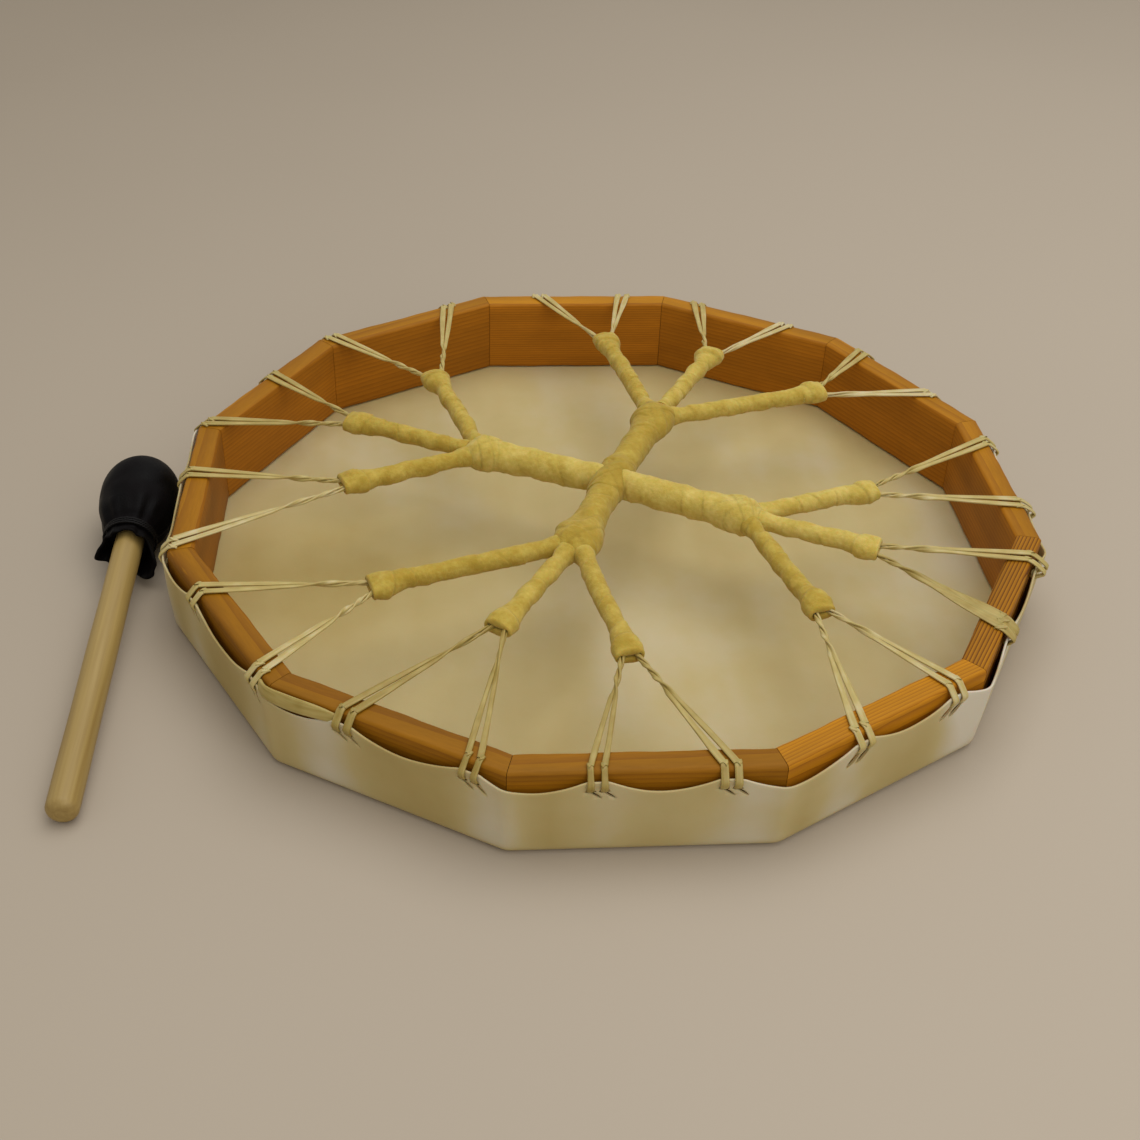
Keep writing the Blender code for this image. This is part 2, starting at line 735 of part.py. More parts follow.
def stick_profile():
    """The stick from its butt to its far end, both ends rounded."""
    end = BEATER_LENGTH - STICK_SHORT_OF_CROWN
    low = bend((STICK_RADIUS - STICK_END_ROUND, STICK_END_ROUND), STICK_END_ROUND, -90.0, 0.0, 3)
    high = bend((STICK_RADIUS - ARRIS, end - ARRIS), ARRIS, 0.0, 90.0, 2)
    return [(radius, along, 0.0) for radius, along in [(0.0, 0.0)] + low + high + [(0.0, end)]]


def head_line(with_skirt=True):
    """Outside of the beater's head, from the crown back: radius, distance back, pleat depth."""
    groove_to = HEAD_LENGTH - SKIRT_LENGTH
    groove_from = groove_to - GROOVE_LENGTH
    neck_at = groove_from - ARRIS
    line = []
    for angle in np.radians(np.linspace(0.0, 90.0, 6)):
        line.append((HEAD_RADIUS * math.sin(angle), HEAD_CROWN * (1.0 - math.cos(angle)), 0.0))
    for share in (0.25, 0.5, 0.75, 1.0):
        radius = NECK_RADIUS + (HEAD_RADIUS - NECK_RADIUS) * (1.0 - share * share) ** 0.75
        line.append((radius, HEAD_CROWN + (neck_at - HEAD_CROWN) * share, PLEAT_DEPTH * share * share))
    line += [(GROOVE_RADIUS, groove_from, 0.0), (GROOVE_RADIUS, groove_to, 0.0)]
    if with_skirt:
        line += [(NECK_RADIUS, groove_to + ARRIS, PLEAT_DEPTH), (SKIRT_RADIUS, HEAD_LENGTH, PLEAT_DEPTH)]
    return line


def inset_line(line, wall):
    """The same line moved inward by a wall, each stretch staying parallel."""
    places = np.array([point[:2] for point in line])
    edges = np.diff(places, axis=0)
    edges /= np.linalg.norm(edges, axis=1)[:, None]
    inward = np.stack([-edges[:, 1], edges[:, 0]], axis=1)
    before = np.vstack([[0.0, 1.0], inward])
    after = np.vstack([inward, inward[-1]])
    mitre = (before + after) / (1.0 + np.sum(before * after, axis=1))[:, None]
    mitre[0] = (0.0, 1.0)
    moved = places + wall * mitre
    return [(radius, back, point[2]) for (radius, back), point in zip(moved.tolist(), line)]


def from_butt(line):
    """Turns distances back from the crown into distances from the butt."""
    return [(radius, BEATER_LENGTH - back, pleat) for radius, back, pleat in line]


def make_cover(material, parent):
    """The leather pulled over the padding: a thin shell, open round the stick."""
    outer = from_butt(head_line())
    inner = from_butt(inset_line(head_line(), COVER_THICKNESS))
    vertices, faces = turned(outer + inner[::-1], COVER_COLUMNS)
    return add_object("beater_cover", vertices, faces, material, parent, smooth=True)


def make_padding(material, parent):
    """The felt inside the cover, with a blind hole that takes the stick."""
    line = inset_line(head_line(with_skirt=False), COVER_THICKNESS + CLEARANCE)
    outer = from_butt([(radius - pleat, back, 0.0) for radius, back, pleat in line])
    hole = STICK_RADIUS + CLEARANCE
    bottom = BEATER_LENGTH - STICK_SHORT_OF_CROWN + CLEARANCE
    profile = outer + [(hole, outer[-1][1], 0.0), (hole, bottom, 0.0), (0.0, bottom, 0.0)]
    vertices, faces = turned(profile, COVER_COLUMNS)
    return add_object("beater_padding", vertices, faces, material, parent, smooth=True)


def thread_points():
    """The tie's centre line: a helix in the groove, its ends run on straight."""
    radius = GROOVE_RADIUS + CLEARANCE + THREAD / 2.0
    middle = BEATER_LENGTH - HEAD_LENGTH + SKIRT_LENGTH + GROOVE_LENGTH / 2.0
    steps = THREAD_LOOPS * THREAD_POINTS
    share = np.arange(steps + 1) / steps
    angle = share * THREAD_LOOPS * 2.0 * math.pi
    along = middle + (share - 0.5) * THREAD_LOOPS * THREAD_PITCH
    points = np.stack([radius * np.cos(angle), along, radius * np.sin(angle)], axis=1)
    first = points[0] - (points[1] - points[0]) / np.linalg.norm(points[1] - points[0]) * THREAD
    last = points[-1] + (points[-1] - points[-2]) / np.linalg.norm(points[-1] - points[-2]) * THREAD
    return np.vstack([first, points, last])


def least_gap(points, radius, skipped):
    """Least distance between the surfaces of two loops of a wound thread."""
    fine = np.concatenate([np.linspace(a, b, 5)[:-1] for a, b in zip(points, points[1:])])
    apart = np.linalg.norm(fine[:, None] - fine[None], axis=2)
    far = np.abs(np.arange(len(fine))[:, None] - np.arange(len(fine))[None]) > 4 * skipped
    return float(apart[far].min() - 2.0 * radius)


def make_tie(material, parent):
    """The thread that ties the cover to the stick: one unbroken tube, wound."""
    points = thread_points()
    curve = bpy.data.curves.new("beater_tie", "CURVE")
    curve.dimensions = "3D"
    curve.bevel_depth = THREAD / 2.0
    curve.bevel_resolution = 1
    curve.use_fill_caps = True
    spline = curve.splines.new("POLY")
    spline.points.add(len(points) - 1)
    spline.points.foreach_set("co", np.hstack([points, np.ones((len(points), 1))]).ravel())
    curve.materials.append(material)
    tie = bpy.data.objects.new("beater_tie", curve)
    tie.parent = parent
    bpy.context.collection.objects.link(tie)
    gap = least_gap(points, THREAD / 2.0, THREAD_POINTS // 2)
    print(f"beater_tie: {THREAD_LOOPS} loops, least gap between loops {gap * 1000.0:.2f} mm")
    return tie


def lowest(profile, tilt):
    """Height of a turned shape's lowest point when its axis rises by the tilt."""
    return min(along * math.sin(tilt) - radius * math.cos(tilt) for radius, along, _ in profile)


def beater_rest():
    """Where the beater lies: head and butt both on the table, beside the drum."""
    head = from_butt(head_line())
    low = 0.0
    high = math.radians(20.0)
    for _ in range(50):
        tilt = (low + high) / 2.0
        if lowest(head, tilt) < lowest(stick_profile(), tilt):
            low = tilt
        else:
            high = tilt
    beside = -(APOTHEM + LOOP_OUT + BEATER_GAP + HEAD_RADIUS)
    place = Matrix.Translation((beside, BEATER_BUTT_Y, -lowest(stick_profile(), tilt)))
    return place @ Matrix.Rotation(tilt, 4, "X")


def make_beater(finishes):
    """Stick, padding, cover and tie, on one placeholder at the butt of the stick."""
    beater = add_empty("beater", beater_rest())
    vertices, faces = turned(stick_profile(), STICK_COLUMNS)
    add_object("beater_stick", vertices, faces, finishes["stick"], beater, smooth=True)
    make_padding(finishes["felt"], beater)
    make_cover(finishes["black_leather"], beater)
    make_tie(finishes["thread"], beater)


def make_drum(finishes):
    """Hoop, head, laces and wraps, on one placeholder at the middle of the head."""
    drum = add_empty("drum", Matrix.Identity(4))
    for side in range(SIDES):
        make_stave(side, finishes["hoop_wood"], drum)
    laces = []

    def laces_for(bearings):
        pair = [Lace(len(laces) + place + 1, bearing) for place, bearing in enumerate(bearings)]
        laces.extend(pair)
        return pair

    limbs = [Limb(name, bearing, reach, twigs, laces_for)
             for name, (bearing, reach, twigs) in LIMBS.items()]
    make_head(laces, finishes["rawhide"], drum)
    trunk = limbs[0].fork - limbs[2].fork
    trunk = trunk / np.linalg.norm(trunk)
    make_bundle(limbs, trunk, finishes["lace"], drum)
    make_hub(limbs, trunk, finishes["chamois"], drum)
    half_hub = trunk * (HUB_LENGTH / 2.0 + CLEARANCE)
    seat_radius = (HUB_RADIUS + LAP + CLEARANCE) / math.cos(math.pi / SEAT_SIDES)
    seat = rod(np.array(HUB) - half_hub, np.array(HUB) + half_hub, seat_radius, SEAT_SIDES)
    for place, limb in enumerate(limbs):
        on_trunk = place % 2 == 0
        start_gap = HUB_LENGTH / 2.0 + CLEARANCE if on_trunk else HUB_RADIUS / 2.0
        make_limb(limb, start_gap, [] if on_trunk else [seat], finishes["chamois"], drum)
        for twig_place, twig in enumerate(limb.twigs):
            name = f"{limb.name}_twig_wrap_{twig_place + 1}"
            make_twig(twig, name, limb.bulb + CLEARANCE, finishes["chamois"], drum)
            for lace, start in zip(twig.laces, twig.starts):
                make_lace(lace, start, twig.across, finishes["lace"], drum)
    make_tail(laces, finishes["lace"], drum)


def main():
    """Builds the drum and its beater."""
    clear_scene()
    finishes = {
        "hoop_wood": finish("hoop_wood", (0.42, 0.19, 0.03), 0.35),
        "rawhide": finish("rawhide", (0.66, 0.58, 0.38), 0.55),
        "lace": finish("lace", (0.62, 0.52, 0.27), 0.5),
        "chamois": finish("chamois", (0.55, 0.44, 0.12), 0.85),
        "stick": finish("stick", (0.55, 0.42, 0.19), 0.5),
        "felt": finish("felt", (0.5, 0.48, 0.42), 0.95),
        "black_leather": finish("black_leather", (0.008, 0.006, 0.007), 0.6),
        "thread": finish("thread", (0.01, 0.01, 0.01), 0.6),
    }
    make_drum(finishes)
    make_beater(finishes)


main()
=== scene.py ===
# %% [markdown]
# # A frame drum and its beater
#
# The drum lies on its head with the open back up, and the beater lies beside it. The solids
# that carry the sizes come in as a fixed frame. Each step below takes one kind of piece, such
# as a stave or a leather wrap, makes its visible surface with numpy, gives it a finish built
# from shader nodes, and lets it stand for the plain solid in the same place.

# %% Load the frame
import math
import bpy
import numpy as np
from mathutils import Matrix, Vector


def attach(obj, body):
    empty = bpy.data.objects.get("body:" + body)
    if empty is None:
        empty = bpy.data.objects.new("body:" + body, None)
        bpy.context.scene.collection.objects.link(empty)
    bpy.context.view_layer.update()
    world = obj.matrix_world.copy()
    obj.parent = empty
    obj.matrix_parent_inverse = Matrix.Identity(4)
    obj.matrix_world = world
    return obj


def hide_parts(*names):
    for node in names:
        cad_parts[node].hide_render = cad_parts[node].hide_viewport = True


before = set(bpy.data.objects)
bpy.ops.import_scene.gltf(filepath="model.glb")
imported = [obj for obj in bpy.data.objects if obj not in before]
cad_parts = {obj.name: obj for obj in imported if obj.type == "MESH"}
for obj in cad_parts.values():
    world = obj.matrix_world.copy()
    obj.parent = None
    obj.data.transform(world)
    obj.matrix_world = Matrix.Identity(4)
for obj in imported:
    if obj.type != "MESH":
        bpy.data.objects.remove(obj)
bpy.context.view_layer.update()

# %% [markdown]
# ## The camera and the stage
#
# The camera stands in front of the drum and looks down by about 36 degrees, a little rolled.
# It is set by three angles, because a rolled camera can't be aimed with a single target
# point. The floor is pale backdrop paper, large enough to fill that view, and it is painted
# lighter from the far left to the near right, as the light falls across it. Two large lamps
# and an even sky make soft shadows, as a light tent does.

# %% Camera
CAMERA_PLACE = Vector((-0.0827, -0.7256, 0.5246))
CAMERA_YAW = math.radians(5.132881)
CAMERA_DOWN = math.radians(36.438285)
CAMERA_ROLL = math.radians(2.152679)
CAMERA_LENS = 47.287


def aim(yaw, down, roll):
    """Right, up and backward directions of a camera that turns, tips down, then rolls."""
    forward = Vector((math.sin(yaw) * math.cos(down), math.cos(yaw) * math.cos(down), -math.sin(down)))
    right = Vector((math.cos(yaw), -math.sin(yaw), 0.0))
    up = right.cross(forward)
    rolled_right = right * math.cos(roll) + up * math.sin(roll)
    rolled_up = up * math.cos(roll) - right * math.sin(roll)
    return rolled_right, rolled_up, -forward


camera = bpy.data.objects.new("camera", bpy.data.cameras.new("camera"))
camera.data.lens = CAMERA_LENS
camera.data.sensor_width = 36.0
camera.data.clip_start = 0.01
camera.matrix_world = Matrix(aim(CAMERA_YAW, CAMERA_DOWN, CAMERA_ROLL)).transposed().to_4x4()
camera.location = CAMERA_PLACE
bpy.context.scene.collection.objects.link(camera)
bpy.context.scene.camera = camera
bpy.context.scene.view_settings.view_transform = "Standard"
print("camera:", [round(x, 3) for x in camera.location])

# %% [markdown]
# ## Colours and shader nodes
#
# Colours are written as hexadecimal screen values and turned into the linear ones that the
# renderer works with. One function makes a material, and one adds a node to it.

# %% Colours and shader nodes


def colour(code):
    """Turns an sRGB hex code into the linear red, green, blue and alpha that shaders use."""
    parts = np.array([int(code[place:place + 2], 16) for place in (1, 3, 5)]) / 255.0
    linear = np.where(parts <= 0.04045, parts / 12.92, ((parts + 0.055) / 1.055) ** 2.4)
    return (*linear.tolist(), 1.0)


def add_node(material, kind, inputs=(), ramp=(), **settings):
    """Adds one shader node. An input is a value, or the output of another node to link."""
    tree = material.node_tree
    made = tree.nodes.new("ShaderNode" + kind)
    for name, value in settings.items():
        setattr(made, name, value)
    for name, value in dict(inputs).items():
        if isinstance(value, bpy.types.NodeSocket):
            tree.links.new(value, made.inputs[name])
        else:
            made.inputs[name].default_value = value
    for place, (stop, code) in enumerate(ramp):
        element = made.color_ramp.elements[place] if place < 2 else made.color_ramp.elements.new(stop)
        element.position = stop
        element.color = colour(code)
    return made


def new_material(name, **constants):
    """A material with its principled shader. Constants go on the shader's own sockets."""
    material = bpy.data.materials.new(name)
    material.use_nodes = True
    shader = material.node_tree.nodes["Principled BSDF"]
    for label, value in constants.items():
        shader.inputs[label.replace("_", " ")].default_value = value
    return material, shader


def plug(material, output, socket):
    """Links an output to one of the shader's sockets."""
    material.node_tree.links.new(output, socket)
print("colour and node helpers ready")

# %% [markdown]
# ## Floor, sky and lamps
#
# The paper carries a painted slope of light, darker at the far left and lighter at the near
# right, with a faint cloud mixed into it.

# %% Floor, sky and lamps
FLOOR_SIZE = 8.0
paper, paper_shader = new_material("pale_backdrop_paper", Roughness=0.9)
paper_place = add_node(paper, "TexCoord").outputs["Object"]
paper_fade = add_node(paper, "TexNoise", {"Vector": paper_place, "Scale": 1.3, "Detail": 2.0})
# Painted light: a slope that makes the paper lighter towards the near right.
painted_light_slope = add_node(paper, "VectorMath", {0: paper_place, 1: (0.72, -0.55, 0.0)},
                       operation="DOT_PRODUCT")
painted_light_rise = add_node(paper, "MapRange", {"Value": painted_light_slope.outputs["Value"], 1: -0.85, 2: 0.4, 3: 0.0,
                                                4: 1.0})
paper_tone_and_light = add_node(paper, "Mix", {0: 0.25, 2: painted_light_rise.outputs[0], 3: paper_fade.outputs["Fac"]},
                       data_type="FLOAT")
paper_colour = add_node(paper, "ValToRGB", {"Fac": paper_tone_and_light.outputs[0]},
                        ramp=((0.05, "#9F9280"), (0.95, "#BDB09E")))
plug(paper, paper_colour.outputs["Color"], paper_shader.inputs["Base Color"])
floor_mesh = bpy.data.meshes.new("floor")
half_floor = FLOOR_SIZE / 2.0
floor_mesh.from_pydata([(-half_floor, -half_floor, 0.0), (half_floor, -half_floor, 0.0),
                        (half_floor, half_floor, 0.0), (-half_floor, half_floor, 0.0)], [], [(0, 1, 2, 3)])
floor_mesh.materials.append(paper)
floor = bpy.data.objects.new("floor", floor_mesh)
bpy.context.scene.collection.objects.link(floor)

sky = bpy.data.worlds.new("sky")
sky.use_nodes = True
sky.node_tree.nodes["Background"].inputs["Color"].default_value = colour("#F4F1EC")
sky.node_tree.nodes["Background"].inputs["Strength"].default_value = 0.52
bpy.context.scene.world = sky


def add_lamp(name, place, target, size, watts):
    """A square area lamp that faces its target."""
    lamp = bpy.data.objects.new(name, bpy.data.lights.new(name, "AREA"))
    lamp.data.size = size
    lamp.data.energy = watts
    lamp.location = place
    lamp.rotation_euler = (Vector(target) - Vector(place)).to_track_quat("-Z", "Y").to_euler()
    bpy.context.scene.collection.objects.link(lamp)
    return lamp


add_lamp("overhead_lamp", (0.25, 0.35, 1.9), (0.0, 0.0, 0.0), 1.9, 20.0)
add_lamp("front_lamp", (0.9, -1.7, 1.5), (0.0, 0.0, 0.0), 1.7, 12.0)
print("stage:", floor.name, sky.name)

# %% [markdown]
# ## Sizes shared with the solids
#
# These are the sizes that the solids were made from, in metres, so each visible surface lies
# where its solid is. The hoop has twelve flat sides. The laces and the leather wraps lie in
# one level plane just above the hoop.

# %% Hoop and head sizes
SIDES = 12
HALF_TURN = math.pi / SIDES
APOTHEM = 0.240
STAVE_THICKNESS = 0.014
INNER_APOTHEM = APOTHEM - STAVE_THICKNESS
SKIN = 0.0012
CLEARANCE = 0.0003
WOOD_BOTTOM = SKIN + CLEARANCE
HOOP_TOP = WOOD_BOTTOM + 0.0497
BEARING_ROUND = 0.004
BEND_Z = WOOD_BOTTOM + BEARING_ROUND
PEAK_Z = HOOP_TOP - 0.0045
HOLE_Z = PEAK_Z - 0.0048
SCALLOP = 0.0056
RIM_STANDOFF = 0.0019
STRAND_SPREAD = 0.0064
LACING_Z = HOOP_TOP + CLEARANCE + 0.00055
SIDE_LENGTH = 2.0 * APOTHEM * math.tan(HALF_TURN)
FLAT_HALF = (APOTHEM - 0.003) * math.tan(HALF_TURN)
PLATEAU = 0.0053
print("hoop:", SIDES, "sides,", round(2000 * APOTHEM), "mm across flats")

# %% [markdown]
# ## Where the laces run
#
# Four limbs fork into three twigs each, and two laces leave each twig for the rim. Each lace
# knows where it crosses the rim, which way it runs there and how far round the hoop that is.

# %% Where the laces run
HUB = np.array((0.0047, -0.0024))
LIMBS = {
    "upper": (61.0, 0.0765, (
        (85.0, 0.053, (96.0, 82.0)),
        (60.5, 0.052, (69.0, 53.5)),
        (33.5, 0.048, (39.0, 24.0)))),
    "right": (-28.0, 0.0845, (
        (-5.5, 0.070, (9.0, -7.0)),
        (-27.0, 0.064, (-20.0, -35.5)),
        (-51.5, 0.062, (-50.0, -64.5)))),
    "lower": (-107.5, 0.0660, (
        (-90.0, 0.066, (-81.0, -95.5)),
        (-115.5, 0.075, (-109.0, -125.0)),
        (-142.5, 0.062, (-138.0, -155.5)))),
    "left": (157.0, 0.0755, (
        (-178.5, 0.077, (-166.5, 177.0)),
        (155.5, 0.062, (163.5, 148.0)),
        (128.5, 0.069, (133.0, 112.0)))),
}


def direction(degrees):
    """Unit vector in the plane of the hoop, for a bearing from +X."""
    return np.array([math.cos(math.radians(degrees)), math.sin(math.radians(degrees))])


def side_frame(side):
    """Outward and sideways directions of one flat side, seen from above."""
    outward = direction(-90.0 + 30.0 * side)
    return outward, np.array([-outward[1], outward[0]])


class Lace:
    """One doubled lace: its stave, and its place along that stave."""

    def __init__(self, number, bearing):
        self.number = number
        turn = math.radians(bearing) + math.pi / 2.0
        self.side = round(turn / (2.0 * HALF_TURN)) % SIDES
        off_middle = (turn + HALF_TURN) % (2.0 * HALF_TURN) - HALF_TURN
        furthest = FLAT_HALF - PLATEAU - CLEARANCE
        self.along = float(np.clip(APOTHEM * math.tan(off_middle), -furthest, furthest))
        self.outward, self.sideways = side_frame(self.side)
        self.perimeter = (self.side + 0.5) * SIDE_LENGTH + self.along

    def point(self, along, out, height):
        """A point given along the stave, outward from its outer face, and up."""
        return np.append(self.outward * (APOTHEM + out) + self.sideways * (self.along + along), height)


LACES = [Lace(number + 1, bearing) for number, bearing in enumerate(
    bearing for _, _, twigs in LIMBS.values() for _, _, pair in twigs for bearing in pair)]
print("laces:", len(LACES))

# %% [markdown]
# ## One way to make every skin
#
# Staves, strands, wraps and the turned head of the beater are all one kind of surface: a ring
# of points carried along a line. The points of such a surface fill a grid, with one row for
# each ring. The grid is joined into faces, and each end is closed by a fan. A signed volume
# tells if the skin is inside out.

# %% Surfaces from rings


def closed_skin(rings):
    """Points and faces of a closed skin: neighbouring rings joined, both ends fanned to their middle."""
    rows, columns = rings.shape[:2]
    points = np.concatenate([rings.reshape(-1, 3), rings[0].mean(0)[None], rings[-1].mean(0)[None]])
    first, second = np.arange(columns), np.roll(np.arange(columns), -1)
    starts = np.arange(rows - 1)[:, None] * columns
    ahead = starts + columns
    quads = np.stack([starts + first, starts + second, ahead + second, ahead + first], -1).reshape(-1, 4)
    last = (rows - 1) * columns
    near = np.stack([second, first, np.full(columns, rows * columns)], -1)
    far = np.stack([last + first, last + second, np.full(columns, rows * columns + 1)], -1)
    a, b, c, d = (points[quads[:, corner]] for corner in range(4))
    volume = (a * np.cross(b, c)).sum() + (a * np.cross(c, d)).sum()
    faces = quads.tolist() + near.tolist() + far.tolist()
    if volume < 0.0:
        faces = [face[::-1] for face in faces]
    return points, faces


def add_piece(name, points, faces, material, body, sharp=40.0):
    """Makes a mesh object from points and faces, smooth but for edges sharper than an angle."""
    mesh = bpy.data.meshes.new(name)
    mesh.from_pydata(points.tolist(), [], faces)
    mesh.shade_smooth()
    mesh.set_sharp_from_angle(angle=math.radians(sharp))
    mesh.materials.append(material)
    piece = bpy.data.objects.new(name, mesh)
    bpy.context.scene.collection.objects.link(piece)
    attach(piece, body)
    return piece


def paint(piece, name, values):
    """Stores one number, or three, for each point of a mesh, for its material to read."""
    values = np.asarray(values, np.float32)
    kind, field = ("FLOAT", "value") if values.ndim == 1 else ("FLOAT_VECTOR", "vector")
    missing = len(piece.data.vertices) - len(values)
    values = np.concatenate([values, np.repeat(values[-1:], missing, 0)])
    piece.data.attributes.new(name, kind, "POINT").data.foreach_set(field, values.ravel())


def stand_for(piece, slot, *nodes):
    """The piece takes the place of its solids, which are hidden; the slot is not used."""
    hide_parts(*nodes)
    return piece


def unit(vectors):
    """Vectors of length one."""
    return vectors / np.linalg.norm(vectors, axis=-1, keepdims=True)


def smoothstep(value):
    """Rises from 0 to 1 with level ends: three squares less two cubes of the value."""
    value = np.clip(value, 0.0, 1.0)
    return value * value * (3.0 - 2.0 * value)


class Ripple:
    """A smooth unevenness: the mean of sine waves whose directions and phases are drawn by seed."""

    def __init__(self, seed, wavelength, waves=14):
        draw = np.random.default_rng(seed)
        self.waves = unit(draw.normal(size=(waves, 3))) * 2.0 * math.pi / wavelength
        self.waves *= draw.uniform(0.6, 1.5, (waves, 1))
        self.phases = draw.uniform(0.0, 2.0 * math.pi, waves)

    def __call__(self, points):
        return np.sin(points @ self.waves.T + self.phases).mean(-1) * math.sqrt(len(self.phases)) / 1.5


print("helpers ready")

# %% [markdown]
# ## Oiled spruce
#
# The hoop is softwood with a satin coat of warm orange oil. Spruce shows pale early wood
# between thin dark lines of late wood, 2 to 3 mm apart, which run the length of the board.
# The lines are rings about a far-off pith, stretched along the board, so a solid pattern is
# right on every face and also on the mitred ends. Each stave carries its own grain
# coordinates, or the pattern would run straight through the joints. The inner side of a board
# is a shade redder than its planed top edge, and the outer side a third as much.

# %% Spruce material
RING_SPACING = 0.0027
WAVE_PERIOD = 2.0 * math.pi / 20.0
spruce, spruce_shader = new_material("oiled_spruce", Roughness=0.52, IOR=1.5, Specular_IOR_Level=0.14)
grain = add_node(spruce, "Attribute", attribute_name="grain").outputs["Vector"]
facing = add_node(spruce, "Attribute", attribute_name="facing").outputs["Fac"]
figure = add_node(spruce, "Attribute", attribute_name="figure").outputs["Fac"]
board_tone = add_node(spruce, "Attribute", attribute_name="board_tone").outputs["Fac"]
rings = add_node(spruce, "TexWave", {"Vector": grain, "Scale": WAVE_PERIOD / RING_SPACING,
                                     "Distortion": 2.4, "Detail": 2.0, "Detail Scale": 0.3,
                                     "Detail Roughness": 0.6},
                 wave_type="RINGS", rings_direction="X", wave_profile="SAW")
fibres = add_node(spruce, "TexNoise", {"Vector": grain, "Scale": 900.0, "Detail": 3.0})
cloud = add_node(spruce, "TexNoise", {"Vector": grain, "Scale": 60.0, "Detail": 2.0})
line = add_node(spruce, "Math", {0: rings.outputs["Fac"], 1: 2.2}, operation="POWER")
strength = add_node(spruce, "Math", {0: line.outputs[0], 1: figure}, operation="MULTIPLY")
top_wood = add_node(spruce, "ValToRGB", {"Fac": strength.outputs[0]},
                    ramp=((0.0, "#A8700E"), (1.0, "#66390A"), (0.45, "#965F0C")))
side_wood = add_node(spruce, "ValToRGB", {"Fac": strength.outputs[0]},
                     ramp=((0.0, "#AA6B15"), (1.0, "#5E340A"), (0.45, "#955B11")))
both = add_node(spruce, "Mix", {0: facing, 6: top_wood.outputs["Color"],
                                7: side_wood.outputs["Color"]}, data_type="RGBA")
shade = add_node(spruce, "MapRange", {"Value": cloud.outputs["Fac"], 1: 0.3, 2: 0.7, 3: 0.82, 4: 1.12})
fine = add_node(spruce, "MapRange", {"Value": fibres.outputs["Fac"], 1: 0.3, 2: 0.7, 3: 0.93, 4: 1.06})
dapple = add_node(spruce, "Math", {0: shade.outputs[0], 1: fine.outputs[0]}, operation="MULTIPLY")
# Painted light: each board's colour is scaled, lighter on the staves at the right and darker on those at the
# left.
dappled_and_lit = add_node(spruce, "Math", {0: dapple.outputs[0], 1: board_tone}, operation="MULTIPLY")
final_wood = add_node(spruce, "VectorMath", {0: both.outputs[2], "Scale": dappled_and_lit.outputs[0]},
                      operation="SCALE")
plug(spruce, final_wood.outputs[0], spruce_shader.inputs["Base Color"])
wood_relief = add_node(spruce, "Bump", {"Height": fibres.outputs["Fac"], "Strength": 0.12,
                                        "Distance": 0.0004})
plug(spruce, wood_relief.outputs["Normal"], spruce_shader.inputs["Normal"])
print("material:", spruce.name)

# %% [markdown]
# ## The twelve staves
#
# A stave is a board with both ends mitred at 15 degrees. Its section is a rectangle with
# rounded arrises, and the lower outer one is the wider rounding that the hide bears on. The
# section is carried from one mitre to the other: a point further out travels further,
# because a mitre is a plane through the middle of the drum. Sandpaper leaves the arrises a
# little uneven, so the rounding breathes along the board. On three boards the lines stand
# closer and stronger, because their cut meets the rings square on.

# %% Make the staves
ARRIS = 0.002
GLUE_LINE = 0.0003
STAVE_ROWS = 31
WEAR = 0.00025
FINE_WEAR = 0.00012
OUTER_REDNESS = 0.35
BOARD_FIGURE = {1: 0.6, 2: 1.35, 6: 0.6}
TOP_LINED_PITH = (0.084, -0.022)
FACE_LINED_PITH = (0.012, 0.084)
# Painted light and shade per board: boards on the right are made lighter, those on the left darker.
BOARD_PAINTED_LIGHT = {0: 0.86, 1: 1.38, 4: 1.06, 5: 1.06, 6: 1.2, 7: 0.98, 9: 0.86, 10: 0.8, 11: 0.76}


def arc(centre, radius, start, end, steps):
    """Points of an arc: the centre plus the radius times the cosine and sine of each angle."""
    angle = np.radians(np.linspace(start, end, steps + 1))
    return np.stack([centre[0] + radius * np.cos(angle), centre[1] + radius * np.sin(angle)], -1)


def stave_section():
    """Reach from the middle and height of the rounded section, with its straight sides divided."""
    corners = [arc((APOTHEM - BEARING_ROUND, BEND_Z), BEARING_ROUND, -90.0, 0.0, 7),
               arc((APOTHEM - ARRIS, HOOP_TOP - ARRIS), ARRIS, 0.0, 90.0, 5),
               arc((INNER_APOTHEM + ARRIS, HOOP_TOP - ARRIS), ARRIS, 90.0, 180.0, 5),
               arc((INNER_APOTHEM + ARRIS, WOOD_BOTTOM + ARRIS), ARRIS, 180.0, 270.0, 5)]
    section = []
    for corner, after in zip(corners, corners[1:] + corners[:1]):
        share = np.linspace(0.0, 1.0, 6)[1:-1, None]
        section += [corner, corner[-1] + share * (after[0] - corner[-1])]
    return np.concatenate(section)


